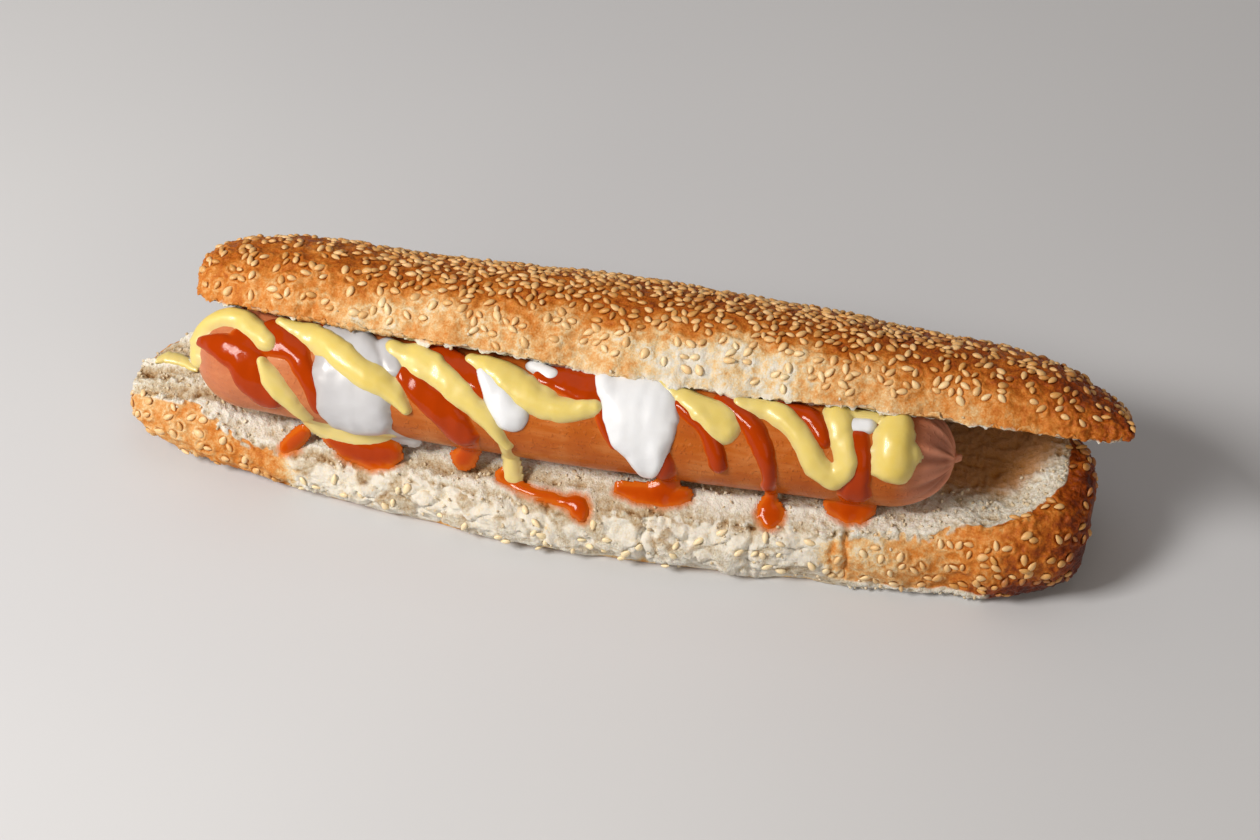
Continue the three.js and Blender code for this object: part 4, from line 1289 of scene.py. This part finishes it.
def sow_seeds(name, surface, normals, share, bake_and_shade, crumb, settings):
    """Seeds on a half, its surface with a dent under each seed and a rim round it, and the rims."""
    settings = {"Shapes": seed_shapes, "Material": sesame, **settings}
    seeds, seed_points = scatter(name, surface, share, bake_and_shade, settings)
    away = distance_to(seed_points.reshape(-1, SEED_POINTS, 3).mean(1), surface)
    ring = np.exp(-((away - RIM_AWAY) / RIM_WIDTH) ** 2)
    swell = RIM_HEIGHT * ring - DENT_DEPTH * np.exp(-(away / DENT_WIDTH) ** 2)
    return seeds, raised(surface, normals, swell * (1 - crumb)), ring


def shed_flakes(name, surface, share, bake_and_shade, settings):
    """Flakes on a half, tumbled every way."""
    settings = {"Shapes": flake_shapes, "Material": torn_crumb, "Smallest": 0.45, "Lift": 0.0001,
                "Tilt": 1.5, **settings}
    return scatter(name, surface, share, bake_and_shade, settings)[0]


print(f"a seed's rim stands {RIM_HEIGHT} mm high, {RIM_AWAY} mm from its middle")

# %% Which way is out
def grid_normals(points):
    """Unit normals of rings of points, shape (rings, points round each ring, 3)."""
    lengthwise = np.gradient(points, axis=0)
    around = np.roll(points, -1, axis=1) - np.roll(points, 1, axis=1)
    normal = np.cross(around, lengthwise)
    return normal / np.maximum(np.linalg.norm(normal, axis=-1, keepdims=True), 1e-9)


def outward(points, inside):
    """Unit normals of a half's rings, turned away from a point inside it."""
    normals = grid_normals(points)
    row, column = RINGS // 2, 20
    return normals * np.sign((normals[row, column] * (points[row, column] - inside)).sum())


sample = outward(top_points, on_top(0, 23, 8))[RINGS // 2, TOP_CRUST // 2]
print("the crown at mid-length faces", sample.round(2))

# %% [markdown]
# ## Baking the two halves
#
# Each half is its smooth rings, pushed out by the relief of crust or crumb. Three numbers go
# with every point for the material: how much it is crumb, how far it was baked with some painted
# shade added, and how hollow it is, which paints shade into pores. The seeds are scattered before
# the final surface, because the dough rose round them: each lies in a small dent with a low rim.

# %% Where the bottom half shows crumb
x, y, z = np.moveaxis(bottom_points, -1, 0)
normals = outward(bottom_points, (0, 11, 10))
on_crust = ~bottom_is_cut
torn = torn_front(bottom_points) * on_crust
near_lip = near_the_lip(bottom_points, bottom_is_cut, bottom_from_lip, 0.13)
flap = (smooth_step(50, 57, x) * smooth_step(101, 93, x) * smooth_step(-6, -12, y)
        * smooth_step(4.6, 3.2, z + 0.9 * noise(bottom_points, 4, 38)) * on_crust)
crust_starts = 113 - 0.045 * np.maximum(8 - y, 0) ** 2 - 0.05 * np.maximum(y - 18, 0) ** 2
past_crumb = smooth_step(-0.9, 0.9, x - crust_starts + 0.6 * noise(bottom_points, 3, 39))
patches = smooth_step(-0.05, 0.35, noise(warped(bottom_points, 3, 8, 40), 8, 43) + 0.1)
ragged = smooth_step(-0.3, 0.5, noise(bottom_points, 2, 44) + 0.2) * smooth_step(97, 82, x)
crumb = np.where(bottom_is_cut, 1 - past_crumb, np.maximum(0.6 * torn * patches, near_lip * ragged))
crumb = np.clip(np.maximum(crumb, flap), 0, 1)
print(f"crumb covers {100 * crumb.mean():.0f}% of the bottom half's points")

# %% The bottom half's relief
split = cracks(bottom_points, [(8, 1.8, 0.7), (11, 0.9, 0.5), (60, 1.2, 0.7), (57, 0.8, 0.5), (-47, 1.0, 0.8),
                               (36, 1.0, 0.6), (-18, 0.8, 0.6)])
split = split * smooth_step(-8, -14, y) * on_crust * (1 - flap)
fray = 0.8 * noise(bottom_points, 2.0, 45) + 0.5 * noise(bottom_points, 1.0, 46)
fray = near_lip * smooth_step(116, 104, x) * fray
skin = crust_relief(bottom_points, torn, 0.3 * near_lip)
relief = mix(skin, crumb_relief(bottom_points), crumb) - split + fray
# Kept as hollow, which paints shade into the crumb's pores and light onto its ridges.
hollow = relief
smoothed = blurred(blurred(relief, 2, 0), 2, 1) - 0.12
relief = mix(relief, smoothed, covered) - 0.35 * weighed_down
relief = relief * np.where(bottom_is_cut, 1, smooth_step(0.3, 3, z))
relief = (relief + 1.1 * flap) * np.minimum(fullness(t_rows, *BOTTOM_ROUNDING) * 2.5, 1)
bottom_surface = raised(bottom_points, normals, relief)
print(f"bottom half's relief from {relief.min():.1f} to {relief.max():.1f} mm")

# %% How thick seeds lie on the bottom half
angle = np.degrees(np.pad(bottom_angles, ((0, 0), (0, BOTTOM_CUT)), mode="edge"))
by_length = along([(-138, 0.42), (-105, 0.36), (-85, 0.24), (52, 0.24), (66, 0.40), (88, 0.50),
                   (121, 0.50)], x)
front = smooth_step(5, 14, np.degrees(bottom_from_lip)) * smooth_step(236, 214, angle)
back_side = 0.8 * smooth_step(330, 345, angle) * smooth_step(398, 384, angle)
share = by_length * np.maximum(front, back_side) * on_crust + 0.5 * bottom_is_cut * past_crumb
cluster = smooth_step(-124, -131, x) * np.exp(-(bottom_from_lip / 0.3) ** 2) * on_crust
share = np.maximum(share, cluster) * smooth_step(2, 4.5, z) * (1 - np.maximum(covered, flap)) * (1 - stained)
print(f"seeds may lie on {100 * (share > 0.1).mean():.0f}% of the bottom half's points")

# %% How far the bottom half is baked
bake_and_shade = along([(-138, 0.44), (-122, 0.42), (-100, 0.54), (-80, 0.40), (50, 0.30), (70, 0.36), (92, 0.54),
              (108, 0.72), (121, 0.96)], x)
bake_and_shade = bake_and_shade - (0.52 - 0.28 * noise(bottom_points, 5, 48)) * torn
# Painted shade: darker towards the bottom at the right end, where the roll meets the floor.
bake_and_shade = bake_and_shade + 0.36 * smooth_step(14, 3, z) * smooth_step(75, 105, x)
bake_and_shade = bake_and_shade + 0.09 * noise(bottom_points, 9, 41) + 0.06 * noise(bottom_points, 3, 42)
# The back is browner and the lip paler, and the cracks are darker as painted shade.
bake_and_shade = bake_and_shade + 0.10 * smooth_step(10, 40, y) * (1 - torn) + 0.10 * np.minimum(split, 1) - 0.10 * near_lip
# Past the sausage the crumb took up its fat and is browner, and the same brown paints the shade
# that the top half and the sausage's end cast on it.
grease_and_shade = smooth_step(108, 94, x + 0.9 * np.maximum(6 - y, -14) + 2 * noise(bottom_points, 7, 47))
grease_and_shade = grease_and_shade * smooth_step(-1, 7, y) * smooth_step(70, 84, x) * bottom_is_cut
print(f"the bottom half is baked from {bake_and_shade.min():.2f} to {bake_and_shade.max():.2f}")

# %% The bottom half's seeds, surface and flakes
bottom_seeds, bottom_surface, seed_ring = sow_seeds(
    "sesame_on_bottom", bottom_surface, normals, share, bake_and_shade, crumb, {"Seed": 5})
bake_and_shade = bake_and_shade - 0.12 * seed_ring

bottom_tips = np.array([BOTTOM_LEFT, BOTTOM_RIGHT]) - [0, 0, SETTLED]
bottom_roll = tube_object("roll_bottom_half", bottom_surface, *bottom_tips, {
    "crumb": crumb, "bake_and_shade": np.clip(bake_and_shade, 0.02, 1), "hollow": hollow, "soaked": stained, "grease_and_shade": grease_and_shade})

flake_share = bottom_is_cut * (1 - past_crumb) * 0.40 + near_lip * ragged + 0.08 * torn + 0.4 * flap
flake_share = np.clip(flake_share, 0, 1) * (1 - covered) * smooth_step(0.6, 2.0, z) * (1 - grease_and_shade)
bottom_flakes = shed_flakes("crumb_flakes", bottom_surface, flake_share, bake_and_shade, {
    "Seed": 7, "Gap": 0.0010, "Largest": 1.3, "Most per square metre": 330000.0})

# %% The top half's relief
x, y, z = np.moveaxis(top_points, -1, 0)
normals = outward(top_points, on_top(0, 23, 8))
on_crust = ~top_is_cut
near_lip = near_the_lip(top_points, top_is_cut, top_from_lip, 0.20)
side_wall = smooth_step(1.4, 0.9, top_from_lip) * on_crust
ragged = smooth_step(-0.05, 0.4, noise(top_points, 4, 50) + 0.1)
crumb = np.clip(np.where(top_is_cut, 1, near_lip * ragged), 0, 1)
jagged = 0.9 * noise(top_points, 6.5, 55) + 0.9 * smooth_step(50, 90, x) * noise(top_points, 3.5, 56)
scraps = sum(np.exp(-((x - middle) / 5) ** 2) for middle in (-53, 12, 30)) * near_lip
fray = 1.0 * noise(top_points, 2.2, 53) + 0.6 * noise(top_points, 1.0, 54)
fray = near_lip * fray + 1.5 * scraps + near_lip * jagged
skin = crust_relief(top_points, torn=np.clip(0.5 * near_lip + 0.22 * side_wall, 0, 1),
                    wrinkled=side_wall * smooth_step(80, 60, x))
relief = mix(skin, crumb_relief(top_points), crumb) + fray
# Kept as hollow, which paints shade into the crumb's pores and light onto its ridges.
hollow = relief
relief = relief * np.minimum(fullness(t_rows, *TOP_ROUNDING) * 2.5, 1)
top_surface = raised(top_points, normals, relief)
print(f"top half's relief from {relief.min():.1f} to {relief.max():.1f} mm")

# %% Seeds and baking of the top half
crown = smooth_step(0.50, 1.08, top_from_lip + 0.22 * noise(top_points, 12, 60)) * on_crust
by_length = along([(-122, 0.40), (-90, 0.5), (-58, 1.0), (70, 0.95), (96, 0.60), (128, 0.50)], x)
low_share = along([(-122, 0.55), (-90, 0.45), (55, 0.45), (80, 0.55), (128, 0.50)], x)
share = np.maximum(crown * by_length, low_share * smooth_step(0.25, 0.45, top_from_lip))
share = share * smooth_step(3.3, 2.8, top_from_lip) * on_crust
side_tone = along([(-123, 0.56), (-95, 0.48), (-60, 0.32), (-40, 0.36), (-8, 0.36), (8, 0.17), (32, 0.16),
                   (50, 0.34), (75, 0.42), (105, 0.50), (128, 0.78)], x)
crown_tone = along([(-123, 0.66), (-90, 0.66), (-50, 0.68), (60, 0.70), (100, 0.73), (128, 0.86)], x)
bake_and_shade = mix(side_tone, crown_tone, crown) + 0.09 * noise(top_points, 10, 51)
bake_and_shade = bake_and_shade + 0.06 * noise(top_points, 3.5, 52) - 0.12 * near_lip
print(f"the top half is baked from {bake_and_shade.min():.2f} to {bake_and_shade.max():.2f}")

# %% The top half's seeds, surface and flakes
top_seeds, top_surface, seed_ring = sow_seeds(
    "sesame_on_top", top_surface, normals, share, bake_and_shade, crumb, {"Seed": 3, "Gap": 0.0019})
bake_and_shade = bake_and_shade - 0.12 * seed_ring * (1 - 0.5 * crown) * smooth_step(75, 40, x)
top_roll = tube_object(
    "roll_top_half", top_surface, on_top(TOP_LEFT_X, TOP_LEFT_ALONG, TOP_LEFT_OFF),
    on_top(TOP_RIGHT_X, TOP_RIGHT_ALONG, TOP_RIGHT_OFF),
    {"crumb": crumb, "bake_and_shade": np.clip(bake_and_shade, 0.02, 1), "hollow": hollow, "soaked": 0 * x, "grease_and_shade": 0 * x})

flake_share = np.clip(top_is_cut * 0.3 + 0.5 * near_lip * ragged, 0, 1)
top_flakes = shed_flakes("crumb_flakes_on_top", top_surface, flake_share, bake_and_shade, {
    "Seed": 8, "Gap": 0.0011, "Largest": 1.2, "Most per square metre": 200000.0})

# %% [markdown]
# ## Baked bread
#
# Wheat crust browns from cream through gold to dark brown, and the ramp below is that scale.
# It shines a little where it baked longest. Crumb is matt and soft: light goes in a millimetre
# or so and comes out again, which is why it gets a little subsurface scattering, and its pores
# are painted darker, as painted shade, because little light finds its way out of them.

# %% The colours of crust
material, tree, place = new_material("baked wheat crust and crumb")
# The number for how far it baked also carries painted shade at the bottom's right end and in its cracks.
baked, crumb_share, soaked, hollow, grease_and_shade = [
    add(tree, "ShaderNodeAttribute", output="Fac", attribute_name=name)
    for name in ("bake_and_shade", "crumb", "soaked", "hollow", "grease_and_shade")]

# A brown for how far it baked, with the painted shade that rides on that number, mottled every
# 2.2 mm and freckled every 0.5 mm.
mottle = add(tree, "ShaderNodeTexNoise", {
    "Vector": place, "Scale": 1 / 2.2, "Detail": 5.0, "Roughness": 0.62})
freckles = add(tree, "ShaderNodeTexNoise", {"Vector": place, "Scale": 1 / 0.5, "Detail": 2.0})
tone = add(tree, "ShaderNodeMath", {0: mottle, 1: 0.62, 2: baked}, operation="MULTIPLY_ADD")
tone = add(tree, "ShaderNodeMath", {0: freckles, 1: 0.34, 2: tone}, operation="MULTIPLY_ADD")
tone = add(tree, "ShaderNodeMath", {0: tone, 1: 0.48}, operation="SUBTRACT", use_clamp=True)
crust_colour = add(tree, "ShaderNodeValToRGB", {"Fac": tone}, stops=[
    (0.0, "#e2ddd2"), (0.10, "#e0d6c2"), (0.22, "#e2c596"), (0.34, "#d9a568"), (0.49, "#cc7f32"),
    (0.64, "#b46014"), (0.80, "#903e06"), (1.0, "#561a00")])
print("crust:", len(tree.nodes), "nodes")

# %% The colours of crumb
# It is painted lighter on its ridges and darker in its pores, as painted shade, and brown past the
# sausage, where grease and the painted shade of the top half and the sausage's end lie together.
grain = add(tree, "ShaderNodeTexNoise", {
    "Vector": place, "Scale": 1 / 0.8, "Detail": 4.0, "Roughness": 0.65})
# Painted shade and light: low crumb is darker and its ridges lighter.
depth = add(tree, "ShaderNodeMapRange", {"Value": hollow, "From Min": -1.7, "From Max": 0.9})
light = add(tree, "ShaderNodeMath", {0: grain, 1: 0.80, 2: -0.38}, operation="MULTIPLY_ADD")
light = add(tree, "ShaderNodeMath", {0: depth, 1: light}, operation="ADD", use_clamp=True)
crumb_colour = add(tree, "ShaderNodeValToRGB", {"Fac": light}, stops=[
    (0.05, "#82592f"), (0.28, "#bc9f7a"), (0.52, "#d6c8af"), (0.78, "#f3efe4")])
greased_and_shaded = add(tree, "ShaderNodeMath", {0: grease_and_shade, 1: 0.85}, operation="MULTIPLY")
crumb_colour = add(tree, "ShaderNodeMix", {0: greased_and_shaded, 6: crumb_colour, 7: linear("#c47e2c")}, output=2,
                   data_type="RGBA")
print("with crumb:", len(tree.nodes), "nodes")

# %% Where crust meets crumb, and stains
# Crust ends at crumb in an uneven edge, and ketchup stains both.
edge = add(tree, "ShaderNodeMath", {0: mottle, 1: 0.5, 2: crumb_share}, operation="MULTIPLY_ADD")
crumb_part = add(tree, "ShaderNodeMapRange", {"Value": edge, "From Min": 0.55, "From Max": 0.85})
bread_colour = add(tree, "ShaderNodeMix", {0: crumb_part, 6: crust_colour, 7: crumb_colour}, output=2,
                   data_type="RGBA")
stain = add(tree, "ShaderNodeMath", {0: grain, 1: 0.8, 2: soaked}, operation="MULTIPLY_ADD")
stain = add(tree, "ShaderNodeMapRange", {"Value": stain, "From Min": 0.70, "From Max": 1.30, "To Max": 0.9})
bread_colour = add(tree, "ShaderNodeMix", {0: stain, 6: bread_colour, 7: linear("#d6721c")}, output=2,
                   data_type="RGBA")
print("with stains:", len(tree.nodes), "nodes")

# %% Shine and fine relief of bread
shine = add(tree, "ShaderNodeMath", {0: baked, 1: -0.42, 2: 0.76}, operation="MULTIPLY_ADD")
matt = add(tree, "ShaderNodeMath", {0: crumb_part, 1: 0.95}, operation="MULTIPLY")
rough = add(tree, "ShaderNodeMath", {0: shine, 1: matt}, operation="MAXIMUM")
fine_skin = add(tree, "ShaderNodeTexNoise", {
    "Vector": place, "Scale": 1 / 0.7, "Detail": 4.0, "Roughness": 0.6})
fine_crumb = add(tree, "ShaderNodeTexNoise", {
    "Vector": place, "Scale": 1 / 0.5, "Detail": 3.0, "Roughness": 0.7})
skin_bumps = add(tree, "ShaderNodeMath", {0: fine_skin, 1: 0.8}, operation="MULTIPLY")
crumb_bumps = add(tree, "ShaderNodeMath", {0: fine_crumb, 1: 1.5}, operation="MULTIPLY")
height = add(tree, "ShaderNodeMix", {0: crumb_part, 2: skin_bumps, 3: crumb_bumps})
bump = add(tree, "ShaderNodeBump", {"Height": height, "Strength": 0.9, "Distance": 0.5 * MM})
shader = add(tree, "ShaderNodeBsdfPrincipled", {
    "Base Color": bread_colour, "Roughness": rough, "Normal": bump, "Specular IOR Level": 0.22,
    "Subsurface Weight": 0.10, "Subsurface Radius": (1.0, 0.6, 0.35), "Subsurface Scale": 1.0 * MM})
finish_material(material, shader, bottom_roll, top_roll)

# %% [markdown]
# ## Joining the pieces to the frame
#
# Everything belongs to one body. The bread with its seeds and flakes stands for the packed
# roll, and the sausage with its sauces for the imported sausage.

# %% Riding, replacing and slots
for piece, node, slot in [
        (bottom_roll, "roll", "baked_crust"), (top_roll, "roll", "baked_crust"),
        (top_seeds, "roll", "sesame_seed"), (bottom_seeds, "roll", "sesame_seed"),
        (bottom_flakes, "roll", "bread_crumb"), (top_flakes, "roll", "bread_crumb"),
        (sausage, "sausage", "sausage_skin"), (knot, "sausage", "sausage_skin"),
        (ketchup, "sausage", "ketchup"), (mayonnaise, "sausage", "mayonnaise"),
        (mustard, "sausage", "mustard"), (thread, "sausage", "mustard")]:
    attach(piece, "root")
    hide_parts(node)
    print(f"{piece.name} stands for {node}, slot {slot}")
for shapes in (seed_shapes, flake_shapes):
    for shape in list(shapes.objects):
        bpy.data.objects.remove(shape)
    bpy.data.collections.remove(shapes)

print("cad box", [[round(v / MM, 2) for v in corner] for corner in cad_box])
